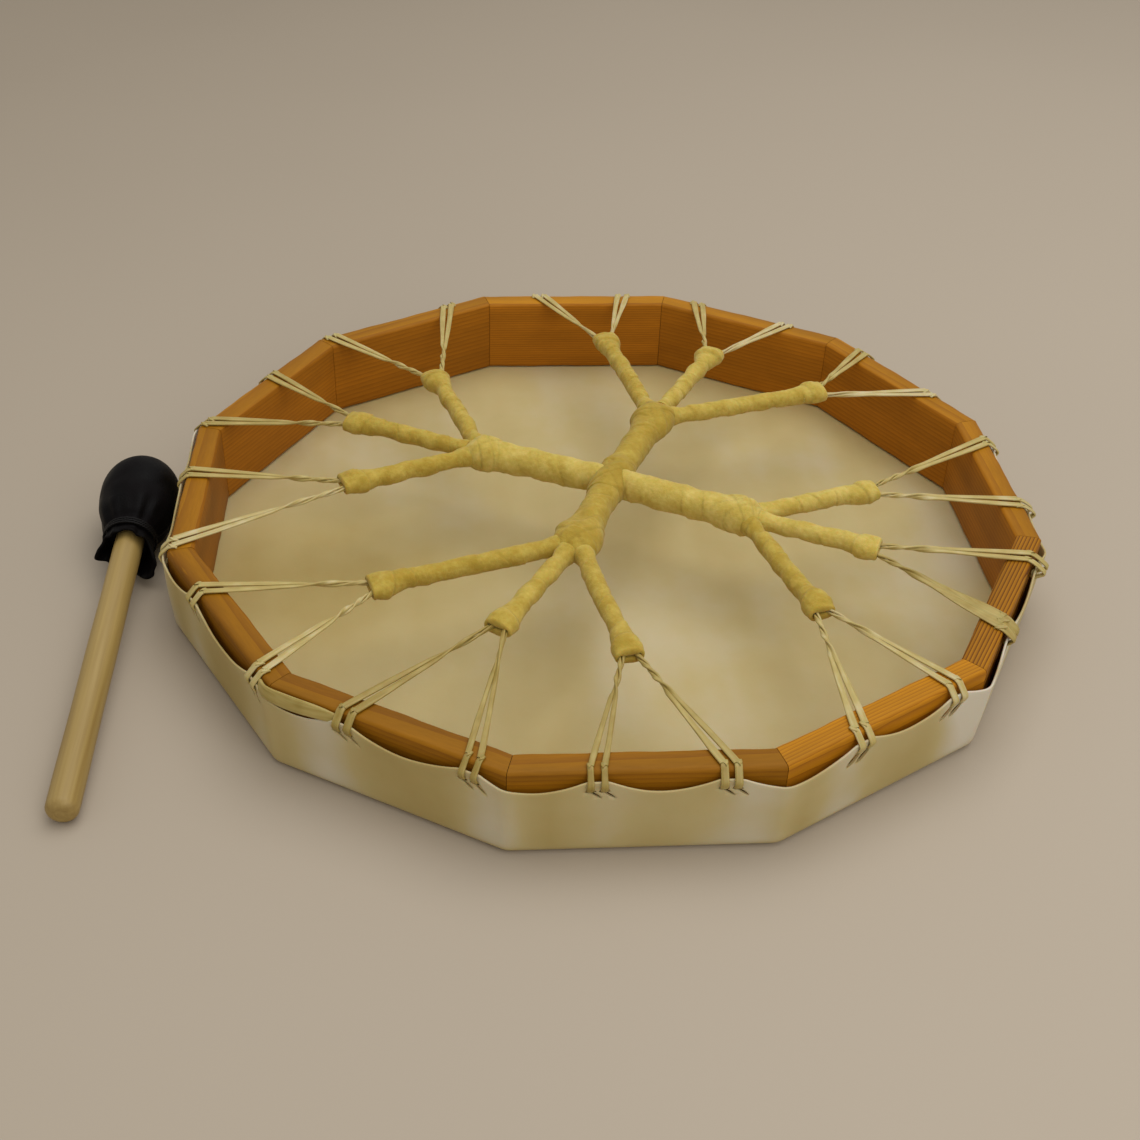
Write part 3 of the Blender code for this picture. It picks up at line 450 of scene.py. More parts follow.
def make_stave(side):
    """One board of the hoop, with its grain coordinates."""
    outward, sideways = side_frame(side)
    section = stave_section()
    middle = np.array([(APOTHEM + INNER_APOTHEM) / 2.0, (HOOP_TOP + WOOD_BOTTOM) / 2.0])
    place = np.linspace(-1.0, 1.0, STAVE_ROWS)[:, None]
    wear = (WEAR * (1.0 + np.sin(place * 9.0 + side))
            + FINE_WEAR * (1.0 + np.sin(place * 23.0 + 2.0 * side)))
    inward = unit(middle - section)
    corner = np.abs((section - middle) / np.abs(section - middle).max(0)).prod(1) ** 3
    reach = section[:, 0] + wear * inward[:, 0] * corner
    height = section[:, 1] + wear * inward[:, 1] * corner
    half_length = reach * math.tan(HALF_TURN) - GLUE_LINE / 2.0 / math.cos(HALF_TURN)
    along = place * half_length
    flat = reach[..., None] * outward + along[..., None] * sideways
    rings = np.concatenate([flat, height[..., None]], -1)
    points, faces = closed_skin(rings)
    name = f"stave_{side + 1:02d}"
    piece = add_piece(f"{name}_board", points, faces, spruce, "drum", 50.0)
    drift = 0.004 * np.sin(along * 9.0 + side * 1.7)
    pith, closer = (0.030 + 0.013 * math.sin(side * 2.1), 0.034 + 0.012 * math.cos(side * 1.3)), 1.0
    if side in BOARD_FIGURE:
        pith, closer = TOP_LINED_PITH if side < SIDES / 4 else FACE_LINED_PITH, 1.5
    grain_place = np.stack([along * 0.12 + side * 0.37, closer * (reach - APOTHEM + pith[0] + drift),
                            closer * (height + pith[1])], -1)
    paint(piece, "grain", grain_place.reshape(-1, 3))
    level = np.gradient(section, axis=0)
    upright = np.abs(level[:, 1]) / np.linalg.norm(level, axis=1)
    redder = upright * np.where(section[:, 0] > middle[0], OUTER_REDNESS, 1.0)
    paint(piece, "facing", np.tile(redder, STAVE_ROWS))
    paint(piece, "figure", np.full(len(points), BOARD_FIGURE.get(side, 0.45)))
    paint(piece, "board_tone", np.full(len(points), BOARD_PAINTED_LIGHT.get(side, 1.0)))
    return stand_for(piece, "hoop_wood", name)


staves = [make_stave(side) for side in range(SIDES)]
print("staves:", len(staves), "boards,", round(SIDE_LENGTH * 1000, 1), "mm along the outer face")

# %% [markdown]
# ## Rawhide
#
# The head is scraped skin, soaked, pulled over the hoop and dried hard. It is cream where it
# is thick and more yellow where fat stayed in it, in soft clouds of 20 to 130 mm, and it lets
# a little light through. Close to the laces it is drawn thin and turns whiter. The scraper's
# long shallow strokes show in the tone and in the relief, and a fine grain of about a
# millimetre in the relief alone.

# %% Rawhide material
rawhide, hide_shader = new_material("rawhide", Roughness=0.6, IOR=1.5, Specular_IOR_Level=0.35,
                                    Subsurface_Weight=0.12, Subsurface_Scale=0.002)
hide_place = add_node(rawhide, "TexCoord").outputs["Object"]
drawn = add_node(rawhide, "Attribute", attribute_name="drawn").outputs["Fac"]
clouds = add_node(rawhide, "TexNoise", {"Vector": hide_place, "Scale": 7.5, "Detail": 2.0,
                                        "Roughness": 0.5, "Distortion": 0.3})
mottle = add_node(rawhide, "TexNoise", {"Vector": hide_place, "Scale": 60.0, "Detail": 4.0,
                                        "Roughness": 0.6})
stroke_map = add_node(rawhide, "Mapping", {"Vector": hide_place, "Scale": (26.0, 5.0, 26.0),
                                           "Rotation": (0.0, 0.0, 0.5)})
stroke = add_node(rawhide, "TexNoise", {"Vector": stroke_map.outputs["Vector"], "Scale": 1.0,
                                          "Detail": 2.0})
hide_spots = add_node(rawhide, "Mix", {0: 0.16, 2: clouds.outputs["Fac"], 3: mottle.outputs["Fac"]},
                      data_type="FLOAT")
hide_tone = add_node(rawhide, "Mix", {0: 0.3, 2: hide_spots.outputs[0], 3: stroke.outputs["Fac"]},
                     data_type="FLOAT")
# The stored value whitens the hide where it is drawn thin and darkens it under the painted shade.
whiter_and_shaded = add_node(rawhide, "Math", {0: drawn, 1: 0.5}, operation="MULTIPLY")
hide_level = add_node(rawhide, "Math", {0: hide_tone.outputs[0], 1: whiter_and_shaded.outputs[0]}, operation="ADD")
hide_colour = add_node(rawhide, "ValToRGB", {"Fac": hide_level.outputs[0]},
                       ramp=((0.02, "#A48A45"), (0.95, "#D8CFBA"), (0.3, "#B7A267"), (0.5, "#C2B07B"),
                             (0.7, "#CBBE9C")))
plug(rawhide, hide_colour.outputs["Color"], hide_shader.inputs["Base Color"])
pore = add_node(rawhide, "TexNoise", {"Vector": hide_place, "Scale": 900.0, "Detail": 2.0})
pore_relief = add_node(rawhide, "Bump", {"Height": pore.outputs["Fac"], "Strength": 0.15,
                                         "Distance": 0.0003})
hide_relief = add_node(rawhide, "Bump", {"Height": stroke.outputs["Fac"], "Strength": 0.35,
                                         "Distance": 0.002,
                                         "Normal": pore_relief.outputs["Normal"]})
plug(rawhide, hide_relief.outputs["Normal"], hide_shader.inputs["Normal"])
print("material:", rawhide.name)

# %% [markdown]
# ## The head
#
# One grid makes the whole hide. Its columns stand round the hoop, and its rows run from the
# middle of the inside, out to the bearing edge, up the inner face, over the lip, and back down
# the outside to the middle of the underside. The lip hangs in a curve between two laces, as a
# pulled edge does: four times the drop times the share times one less the share. Between laces
# it also stands further off the wood. The slits are cut after that, since a slanted cut can't
# follow upright columns.

# %% Columns round the hoop
FLAT_COLUMNS = 52
CORNER_COLUMNS = 7
HIDE_CORNER = 0.010


def around_hoop():
    """For each column: base point, outward direction, and distance round the hoop's outer edge."""
    flat_half = (APOTHEM - HIDE_CORNER) * math.tan(HALF_TURN)
    bases, outs, travelled = [], [], []
    for side in range(SIDES):
        outward, sideways = side_frame(side)
        along = np.linspace(-flat_half, flat_half, FLAT_COLUMNS)
        bases.append(outward * APOTHEM + along[:, None] * sideways)
        outs.append(np.repeat(outward[None], FLAT_COLUMNS, 0))
        travelled.append((side + 0.5) * SIDE_LENGTH + along)
        turn = -90.0 + 30.0 * side + 30.0 * np.arange(1, CORNER_COLUMNS + 1) / (CORNER_COLUMNS + 1)
        around = np.stack([np.cos(np.radians(turn)), np.sin(np.radians(turn))], -1)
        pivot = outward * (APOTHEM - HIDE_CORNER) + sideways * flat_half
        bases.append(pivot + around * HIDE_CORNER)
        outs.append(around)
        share = np.arange(1, CORNER_COLUMNS + 1) / (CORNER_COLUMNS + 1)
        travelled.append((side + 0.5) * SIDE_LENGTH + flat_half + share * (SIDE_LENGTH - 2.0 * flat_half))
    return np.concatenate(bases), np.concatenate(outs), np.concatenate(travelled)


def between_laces(travelled):
    """Share of the way between two laces, for each distance round the hoop, and that gap's length."""
    peaks = np.array([lace.perimeter for lace in LACES])
    total = SIDES * SIDE_LENGTH
    before = ((travelled[:, None] - peaks) % total).min(1)
    gap = before + ((peaks - travelled[:, None]) % total).min(1)
    return np.clip((before - PLATEAU) / (gap - 2.0 * PLATEAU), 0.0, 1.0), gap


bases, outs, travelled = around_hoop()
share, gap = between_laces(travelled)
hang = 4.0 * share * (1.0 - share)
edge_z = PEAK_Z - SCALLOP * hang * np.clip(gap / 0.064, 0.7, 1.15)
print("hide columns:", len(bases), "edge from", round(edge_z.min() * 1000, 1), "mm up")

# %% [markdown]
# ## Make the head
#
# The hide is one closed skin: the inside of the disc from the middle out, up the inside of the
# wall, over the rounded lip, down the outside and back to the middle. How far it is drawn thin
# is stored on it, together with a painted shade that makes the left of the disc darker and
# more yellow.

# %% Make the head
DISC_ROWS = 14
WALL_ROWS = 16
DRAWN_THIN = {10: (1.35, -0.004), 11: (1.75, 0.012), 12: (1.1, -0.008), 13: (0.9, 0.014),
              14: (0.5, 0.0), 15: (0.85, 0.012), 16: (1.05, -0.011)}
DRAWN_REACH = 0.018
# Where the painted shade lies on the disc, and how far it spreads.
SHADED_PATCH_PLACE = (-0.160, -0.015)
SHADED_PATCH_REACH = 0.060
slack = Ripple(3, 0.035)


def wall_out(height):
    """How far the inside of the hide stands off the wood at a height."""
    return CLEARANCE + RIM_STANDOFF * (height - BEND_Z) / (PEAK_Z - BEND_Z)


def hide_wall(skin):
    """Rows of one face of the hide, from the edge of the flat disc to the lip."""
    bend = arc((-BEARING_ROUND, BEND_Z), BEARING_ROUND + CLEARANCE + skin, -90.0, 0.0, 6)
    rows = [np.concatenate([bases + outs * reach, np.full((len(bases), 1), height)], 1)
            for reach, height in bend]
    for level in np.linspace(0.0, 1.0, WALL_ROWS + 1)[1:]:
        height = BEND_Z + level * (edge_z - BEND_Z)
        curl = 0.0012 * hang * level ** 3 + 0.0004 * math.sin(math.pi * level)
        sheet = np.concatenate([bases, height[:, None]], 1)
        curl = curl + 0.00035 * slack(sheet) * level
        flat = bases + outs * (wall_out(height) + skin + curl)[:, None]
        rows.append(np.concatenate([flat, height[:, None]], 1))
    return np.array(rows)


def hide_disc(edge_row, level_z):
    """Rows of the flat part, from the middle out to the wall's first row."""
    shares = np.linspace(0.0, 1.0, DISC_ROWS + 1)[1:-1]
    rows = edge_row[None] * np.array([1.0, 1.0, 0.0]) * shares[:, None, None]
    rows[..., 2] = level_z + 0.00025 * slack(rows) * (1.0 - shares[:, None] ** 8) * (level_z > 0.0)
    return rows


inner_wall, outer_wall = hide_wall(0.0), hide_wall(SKIN)
middle_lip = (inner_wall[-1] + outer_wall[-1]) / 2.0
lip = []
for swing in np.radians([35.0, 90.0, 145.0]):
    ring = middle_lip - np.cos(swing) * (outer_wall[-1] - inner_wall[-1]) / 2.0
    ring[:, 2] += math.sin(swing) * SKIN / 2.0
    lip.append(ring)
hide_rows = np.concatenate([hide_disc(inner_wall[0], SKIN), inner_wall, np.array(lip), outer_wall[::-1],
                            hide_disc(outer_wall[0], 0.0)[::-1]])
points, faces = closed_skin(hide_rows)
head = add_piece("drum_head_hide", points, faces, rawhide, "drum", 60.0)
pull_draw = np.random.default_rng(8)
pulls = np.array([DRAWN_THIN.get(lace.number, (pull_draw.uniform(0.25, 1.0), 0.0)) for lace in LACES])
nearness = (travelled[:, None, None] - (np.array([lace.perimeter for lace in LACES]) + pulls[:, 1])[:, None]
            + np.array([-1.0, 0.0, 1.0]) * SIDES * SIDE_LENGTH)
near_lace = (np.exp(-(nearness / DRAWN_REACH) ** 2) * pulls[:, 0][:, None]).max((1, 2))
outside = smoothstep((hide_rows[..., 2] - 0.001) / 0.006)
drawn_thin_and_shaded = outside * (1.15 * near_lace * (0.75 + 0.4 * Ripple(4, 0.09)(hide_rows)) - 0.30)
# Painted shade: a darker, more yellow patch on the left of the disc.
from_shaded_patch = np.linalg.norm(hide_rows[..., :2] - np.array(SHADED_PATCH_PLACE), axis=-1)
drawn_thin_and_shaded = drawn_thin_and_shaded - 0.6 * (1.0 - outside) * np.exp(-(from_shaded_patch / SHADED_PATCH_REACH) ** 2)
paint(head, "drawn", drawn_thin_and_shaded.ravel())
stand_for(head, "rawhide", "drum_head")
print("hide:", len(faces), "faces")

# %% [markdown]
# ## The slits
#
# Each strand goes through its own slit, cut with a knife at a slant and pulled open into the
# shape of a lens. The slits of the right-hand side lean one way and are pulled wider, and all
# others lean the other way. Each strand also has a small level lens where it goes in. All
# cutters are one mesh, and a Boolean takes them out of the hide in one go.

# %% Cut the slits
PLAIN_SLIT = {"length": 0.0080, "width": 0.0014, "lean": -38.0, "toward": 1.0, "below": 0.27}
RIGHT_SLIT = {"length": 0.0096, "width": 0.0036, "lean": 42.0, "toward": -1.0, "below": 0.40}
ENTRY_WIDTH = 0.0052
ENTRY_HEIGHT = 0.0017
CUTTER_REACH = 0.005
LENS_POINTS = 12
RIGHT_LACES = range(7, 13)


def full_turn(count):
    """Angles of so many even steps round a circle."""
    return np.arange(count) * 2.0 * math.pi / count


def lens_cutter(lace, along, height, length, width, lean):
    """A lens-shaped prism through the hide: both half widths shrink to nothing at its ends."""
    turn = full_turn(LENS_POINTS)
    run, cross = length / 2.0 * np.cos(turn), width / 2.0 * np.sin(turn)
    tilt = math.radians(lean)
    across = along + run * math.cos(tilt) - cross * math.sin(tilt)
    up = height + run * math.sin(tilt) + cross * math.cos(tilt)
    rings = [np.array([lace.point(a, out, z) for a, z in zip(across, up)])
             for out in (-0.002, CUTTER_REACH)]
    return closed_skin(np.array(rings))


def join_skins(skins):
    """Points and faces of several closed skins, as one mesh."""
    points, faces, first = [], [], 0
    for own_points, own_faces in skins:
        points.append(own_points)
        faces += [[first + corner for corner in face] for face in own_faces]
        first += len(own_points)
    return np.concatenate(points), faces


cutters = []
for lace in LACES:
    slit = RIGHT_SLIT if lace.number in RIGHT_LACES else PLAIN_SLIT
    for strand in (-1.0, 1.0):
        along = strand * STRAND_SPREAD / 2.0
        slit_along = along + slit["toward"] * slit["length"] * slit["below"]
        slit_z = HOLE_Z - slit["length"] * slit["below"] * 0.85
        cutters.append(lens_cutter(lace, slit_along, slit_z, slit["length"], slit["width"], slit["lean"]))
        cutters.append(lens_cutter(lace, along, HOLE_Z, ENTRY_WIDTH, ENTRY_HEIGHT, 0.0))
points, faces = join_skins(cutters)
cutter_mesh = bpy.data.meshes.new("slit_cutters")
cutter_mesh.from_pydata(points.tolist(), [], faces)
cutter = bpy.data.objects.new("slit_cutters", cutter_mesh)
bpy.context.scene.collection.objects.link(cutter)


def bake_modifiers(piece):
    """Keeps what the modifiers make as the piece's own mesh."""
    graph = bpy.context.evaluated_depsgraph_get()
    made = bpy.data.meshes.new_from_object(piece.evaluated_get(graph), depsgraph=graph)
    piece.modifiers.clear()
    piece.data = made


cut = head.modifiers.new("slits", "BOOLEAN")
cut.operation = "DIFFERENCE"
cut.solver = "EXACT"
cut.use_self = True
cut.object = cutter
bake_modifiers(head)
bpy.data.objects.remove(cutter)
print("hide with", len(cutters) // 2, "slits:", len(head.data.polygons), "faces")

# %% [markdown]
# ## Lace rawhide
#
# The laces are strips of the same hide, cut thin. They are cream and carry fine fibres along
# their length. Each strip has its own shade, from pale cream to straw yellow, so the shade is
# stored on the strip and the fibres are drawn along its run.

# %% Lace material
lace_hide, lace_shader = new_material("lace_rawhide", Roughness=0.45, IOR=1.5, Subsurface_Weight=0.1,
                                      Subsurface_Scale=0.001)
strip = add_node(lace_hide, "Attribute", attribute_name="strip").outputs["Vector"]
lace_tone = add_node(lace_hide, "Attribute", attribute_name="tone").outputs["Fac"]
fibre_map = add_node(lace_hide, "Mapping", {"Vector": strip, "Scale": (60.0, 2200.0, 1.0)})
lace_fibres = add_node(lace_hide, "TexNoise", {"Vector": fibre_map.outputs["Vector"], "Scale": 1.0,
                                               "Detail": 3.0})
lace_patches = add_node(lace_hide, "TexNoise", {"Vector": strip, "Scale": 90.0, "Detail": 2.0})
lace_mix = add_node(lace_hide, "Mix", {0: 0.45, 2: lace_fibres.outputs["Fac"],
                                       3: lace_patches.outputs["Fac"]}, data_type="FLOAT")
lace_level = add_node(lace_hide, "Math", {0: lace_mix.outputs[0], 1: lace_tone}, operation="ADD")
lace_colour = add_node(lace_hide, "ValToRGB", {"Fac": lace_level.outputs[0]},
                       ramp=((0.15, "#9A8238"), (0.85, "#DACDA8"), (0.5, "#BDA964")))
plug(lace_hide, lace_colour.outputs["Color"], lace_shader.inputs["Base Color"])
lace_relief = add_node(lace_hide, "Bump", {"Height": lace_fibres.outputs["Fac"], "Strength": 0.3,
                                           "Distance": 0.0003})
plug(lace_hide, lace_relief.outputs["Normal"], lace_shader.inputs["Normal"])
print("material:", lace_hide.name)

# %% [markdown]
# ## A flat strand
#
# A strand is a rounded strip carried along a smooth line. At each stop of the line it has a
# place, a direction for its width, a width and a thickness. The stops are joined by cubic
# curves whose slope at a stop is half the way from the stop before to the stop after, so the
# strip turns and twists without a kink.

# %% Strands
STRIP_COLUMNS = 12
strip_lengths = []


def smooth_through(stops, steps):
    """Cubic curves through all stops. Each column of the stops, such as a width, is smoothed alike."""
    stops = np.asarray(stops, float)
    padded = np.concatenate([[2.0 * stops[0] - stops[1]], stops, [2.0 * stops[-1] - stops[-2]]])
    share = (np.arange(steps) / steps)[None, :, None]
    start, end = padded[1:-2, None], padded[2:-1, None]
    leave, arrive = (end - padded[:-3, None]) / 2.0, (padded[3:, None] - start) / 2.0
    curve = (start * (1.0 + share ** 2 * (2.0 * share - 3.0)) + end * share ** 2 * (3.0 - 2.0 * share)
             + leave * share * (1.0 - share) ** 2 - arrive * share ** 2 * (1.0 - share))
    return np.concatenate([curve.reshape(-1, stops.shape[1]), stops[-1:]])


def strip_rings(centres, width_ways, widths, thicknesses):
    """Rings of a rounded strip: a flattened oval across the line's direction, square to it."""
    ahead = unit(np.gradient(centres, axis=0))
    width_ways = unit(width_ways - ahead * (width_ways * ahead).sum(-1, keepdims=True))
    through = np.cross(ahead, width_ways)
    turn = (np.arange(STRIP_COLUMNS) + 0.5) * 2.0 * math.pi / STRIP_COLUMNS
    wide = np.sign(np.cos(turn)) * np.abs(np.cos(turn)) ** 0.6
    thick = np.sign(np.sin(turn)) * np.abs(np.sin(turn)) ** 0.6
    return (centres[:, None] + width_ways[:, None] * (wide * widths[:, None] / 2.0)[..., None]
            + through[:, None] * (thick * thicknesses[:, None] / 2.0)[..., None])


def add_strip(name, stops, steps, tone):
    """A strand along stops of place, width direction, width and thickness, with its fibre coordinates."""
    line = smooth_through(stops, steps)
    rings = strip_rings(line[:, :3], line[:, 3:6], line[:, 6], line[:, 7])
    points, faces = closed_skin(rings)
    piece = add_piece(name, points, faces, lace_hide, "drum", 60.0)
    run = np.concatenate([[0.0], np.cumsum(np.linalg.norm(np.diff(line[:, :3], axis=0), axis=1))])
    strip_lengths.append(float(run[-1]))
    across = np.linspace(-0.5, 0.5, STRIP_COLUMNS)[None, :] * line[:, 6:7]
    passed = np.repeat(run[:, None], STRIP_COLUMNS, 1)
    paint(piece, "strip", np.stack([passed, across, np.full_like(across, tone)], -1).reshape(-1, 3))
    paint(piece, "tone", np.full(len(points), tone))
    return piece


print("strand helper ready")

# %% [markdown]
# ## The laces
#
# Each lace is one strip doubled back on itself: from the mouth of a twig out to the rim, over
# the hoop, in at one slit, behind the hide, out at the other and back. The two runs are twisted
# round each other near the twig. They open towards the rim and lie there side by side, flat and
# nearly twice as wide. Some loops on the right-hand side stand a little proud of the rim.

# %% Make the laces
RUN_STOPS = 30
MOUTH_INSET = 0.012
MOUTH_WIDTH = 0.0022
MOUTH_THICKNESS = 0.0013
RIM_WIDTH = 0.0046
RIM_THICKNESS = 0.0012
LACE_SPACING = 0.0036
MOUTH_DEPTH = 0.006
PROUD_LOOPS = {7: 0.0016, 8: 0.0030, 9: 0.0042, 10: 0.0022, 5: 0.0014}
PLAIN_LOOP = 0.82
BROAD_LOOPS = {10: 1.65, 13: 0.80, 14: 0.64, 15: 0.66, 16: 0.90}
PALE_SHARE = 0.55
LACE_TONES = {10: -0.20, 13: -0.14, 14: -0.24, 15: -0.26, 16: -0.28, 17: 0.02, 18: -0.04, 19: 0.08,
              21: -0.18, 22: -0.15}
TAIL_TONE = -0.16
lace_draw = np.random.default_rng(11)
UP = np.array([0.0, 0.0, 1.0])


class Twig:
    """A wrapped bunch of two laces: its fork, tip and direction, and where its laces leave it."""

    def __init__(self, fork, tip_bearing, free_run, laces):
        self.fork = fork
        self.tip = (INNER_APOTHEM - free_run) * direction(tip_bearing)
        self.axis = unit(self.tip - fork)
        self.across = np.array([-self.axis[1], self.axis[0]])
        self.laces = laces
        self.starts = [self.tip - self.axis * MOUTH_DEPTH + self.across * sign * LACE_SPACING / 2.0
                       for sign in (1.0, -1.0)]


def free_run(lace, start, strand, turns):
    """Stops of one run: the pair winds round its middle line, and opens from two fifths on."""
    share = np.linspace(0.0, 1.0, RUN_STOPS)
    arris = lace.point(0.0, -ARRIS, LACING_Z + 0.0003)
    begin = np.append(start, LACING_Z)
    ahead = unit(arris - begin)
    begin = begin - ahead * MOUTH_INSET
    side = np.array([-ahead[1], ahead[0], 0.0]) * np.sign(np.dot([-ahead[1], ahead[0]], lace.sideways))
    opened = 0.5 * smoothstep((share - 0.4) / 0.6) + 0.5 * np.clip((share - 0.4) / 0.6, 0.0, 1.0)
    wind = 2.0 * math.pi * turns * (1.0 - smoothstep(share / 0.55))
    apart = 0.00085 + (STRAND_SPREAD / 2.0 - 0.00085) * opened
    flat_turn = wind + math.pi / 2.0 * (1.0 - smoothstep((share - 0.15) / 0.45))
    side_now = unit(side[None] * (1.0 - opened[:, None]) + np.append(lace.sideways, 0.0) * opened[:, None])
    offset = side_now * np.cos(wind)[:, None] + UP * np.sin(wind)[:, None]
    wide = side_now * np.cos(flat_turn)[:, None] + UP * np.sin(flat_turn)[:, None]
    centre = begin + share[:, None] * (arris - begin) + strand * apart[:, None] * offset
    rim_width = RIM_WIDTH * BROAD_LOOPS.get(lace.number, PLAIN_LOOP)
    widths = MOUTH_WIDTH + (rim_width - MOUTH_WIDTH) * smoothstep((share - 0.4) / 0.55)
    widths = widths * (1.0 + 0.06 * np.sin(share * 17.0 + lace.number + 2.0 * strand))
    thick = MOUTH_THICKNESS + (RIM_THICKNESS - MOUTH_THICKNESS) * share
    return np.concatenate([centre, strand * wide, widths[:, None], thick[:, None]], 1)


def over_the_rim(lace, strand, proud):
    """Stops from the hoop's inner arris over the top, down outside the hide, and in at the slit."""
    along = strand * STRAND_SPREAD / 2.0
    sideways = np.append(lace.sideways, 0.0) * strand
    broad = BROAD_LOOPS.get(lace.number, PLAIN_LOOP)
    outer = wall_out(HOLE_Z) + SKIN + CLEARANCE + RIM_THICKNESS / 2.0
    half = RIM_THICKNESS / 2.0 + CLEARANCE
    places = [(along, -ARRIS - 0.0030, LACING_Z + 0.0002, RIM_WIDTH),
              (along, -0.0012, HOOP_TOP + half - 0.0003, RIM_WIDTH),
              (along, 0.0006 + proud * 0.5, HOOP_TOP - 0.0010, RIM_WIDTH),
              (along, outer + proud * 0.9, PEAK_Z - 0.0002, RIM_WIDTH * 0.97),
              (along, outer + proud * 0.5, HOLE_Z + 0.0024, RIM_WIDTH * 0.93),
              (along, outer - 0.0008, HOLE_Z + 0.0004, RIM_WIDTH * 0.88),
              (along * 0.96, wall_out(HOLE_Z) + 0.0002, HOLE_Z - 0.0001, RIM_WIDTH * 0.7)]
    settled = 0.5 + 0.5 * min(broad, 1.0)
    widen = [broad, broad, broad, 0.5 * (settled + broad), settled, settled, settled]
    return np.array([[*lace.point(a, out, z), *sideways, width * more, RIM_THICKNESS]
                     for (a, out, z, width), more in zip(places, widen)])


def behind_hide(lace, strand):
    """The stop behind the hide, where the strip lies on edge between the wood and the hide."""
    place = lace.point(strand * 0.0014, 0.0010, HOLE_Z)
    return np.array([[*place, *(UP * -1.0), RIM_WIDTH * 0.5, RIM_THICKNESS]])


def make_lace(lace, start):
    """One whole lace as a single strip, there and back."""
    turns = lace_draw.choice([0.5, 0.75, 1.0, 1.25, 1.5, 1.75])
    proud = PROUD_LOOPS.get(lace.number, 0.0004)
    there, back = [np.concatenate([free_run(lace, start, strand, turns), over_the_rim(lace, strand, proud)])
                   for strand in (1.0, -1.0)]
    stops = np.concatenate([there, behind_hide(lace, 1.0), behind_hide(lace, -1.0), back[::-1]])
    name = f"lace_{lace.number:02d}"
    tone = LACE_TONES.get(lace.number, lace_draw.uniform(-0.22, 0.24) * PALE_SHARE)
    piece = add_strip(f"{name}_strip", stops, 3, tone)
    return stand_for(piece, "lace", name)


class Limb:
    """A wrapped bunch of six laces, from the hub to its fork into three twigs."""

    def __init__(self, name, bearing, reach, twigs, laces):
        self.name = name
        self.fork = reach * direction(bearing)
        self.axis = unit(self.fork - HUB)
        self.twigs = [Twig(self.fork, tip, run, laces[2 * place:2 * place + 2])
                      for place, (tip, run, _) in enumerate(twigs)]


limbs = [Limb(name, bearing, reach, twigs, LACES[6 * place:6 * place + 6])
         for place, (name, (bearing, reach, twigs)) in enumerate(LIMBS.items())]
all_twigs = [twig for limb in limbs for twig in limb.twigs]
laces = [make_lace(lace, start) for twig in all_twigs for lace, start in zip(twig.laces, twig.starts)]
print("laces:", len(laces), "strips of", len(laces[0].data.polygons), "faces each,",
      round(min(strip_lengths), 3), "to", round(max(strip_lengths), 3), "m long,",
      round(sum(strip_lengths), 2), "m in all")

# %% [markdown]
# ## The tail of the lace
#
# The free end of the lace is laid along the outside of the rim, round one corner, and tucked
# under the next loop. It is the same strip, so the same helper makes it. Between the loops it
# stands up over the outer arris and bulges outward, as a strip does that is held at its ends.

# %% Make the tail
TAIL_WIDTH = 0.0076
TAIL_DROP = 0.0040
TAIL_RISE = 0.0030
TAIL_LEAN = -0.30
TAIL_THICKNESS = 0.0019
first, last = LACES[16], LACES[15]
half_side = APOTHEM * math.tan(HALF_TURN)
tail_start = first.along + PLATEAU - half_side
tail_end = half_side + last.along - PLATEAU
tail_stops = []
for stop in np.concatenate([np.linspace(tail_start, -0.004, 5), [0.0], np.linspace(0.004, tail_end, 5)]):
    passed = (stop - tail_start) / (tail_end - tail_start)
    outward, sideways = side_frame(first.side if stop < 0.0 else last.side)
    along = half_side + stop if stop < 0.0 else stop - half_side
    reach = APOTHEM + 0.0014 + 0.0036 * math.sin(math.pi * passed)
    flat = outward * reach + sideways * along
    if stop == 0.0:
        flat = (outward - sideways * math.tan(HALF_TURN)) * (reach - 0.0006)
    free = math.sin(math.pi * passed) ** 0.7 if 0.0 < passed < 1.0 else 0.0
    height = HOOP_TOP - TAIL_DROP + TAIL_RISE * free
    width = TAIL_WIDTH * (0.66 + 0.34 * free)
    tail_stops.append([*flat, height, *(TAIL_LEAN * outward), 1.0, width, TAIL_THICKNESS])
stand_for(add_strip("lace_tail_strip", tail_stops, 4, TAIL_TONE), "lace", "lace_tail")
print("tail:", round((tail_end - tail_start) * 1000), "mm long")

# %% [markdown]
# ## The strands inside the wraps
#
# Under the leather the laces run on: four strands in a twig, twelve in a limb, all to the
# knot at the hub. They are hidden but for the first millimetres in each mouth. Each strand is
# carried from its mouth to the fork and on to the hub, and keeps its own place in the bunch,
# on a circle in the twig and on a wider one in the limb.

# %% Make the gathered strands
TWIG_BUNCH = 0.0013
LIMB_BUNCH = 0.0030
GATHERED_WIDTH = 0.0022


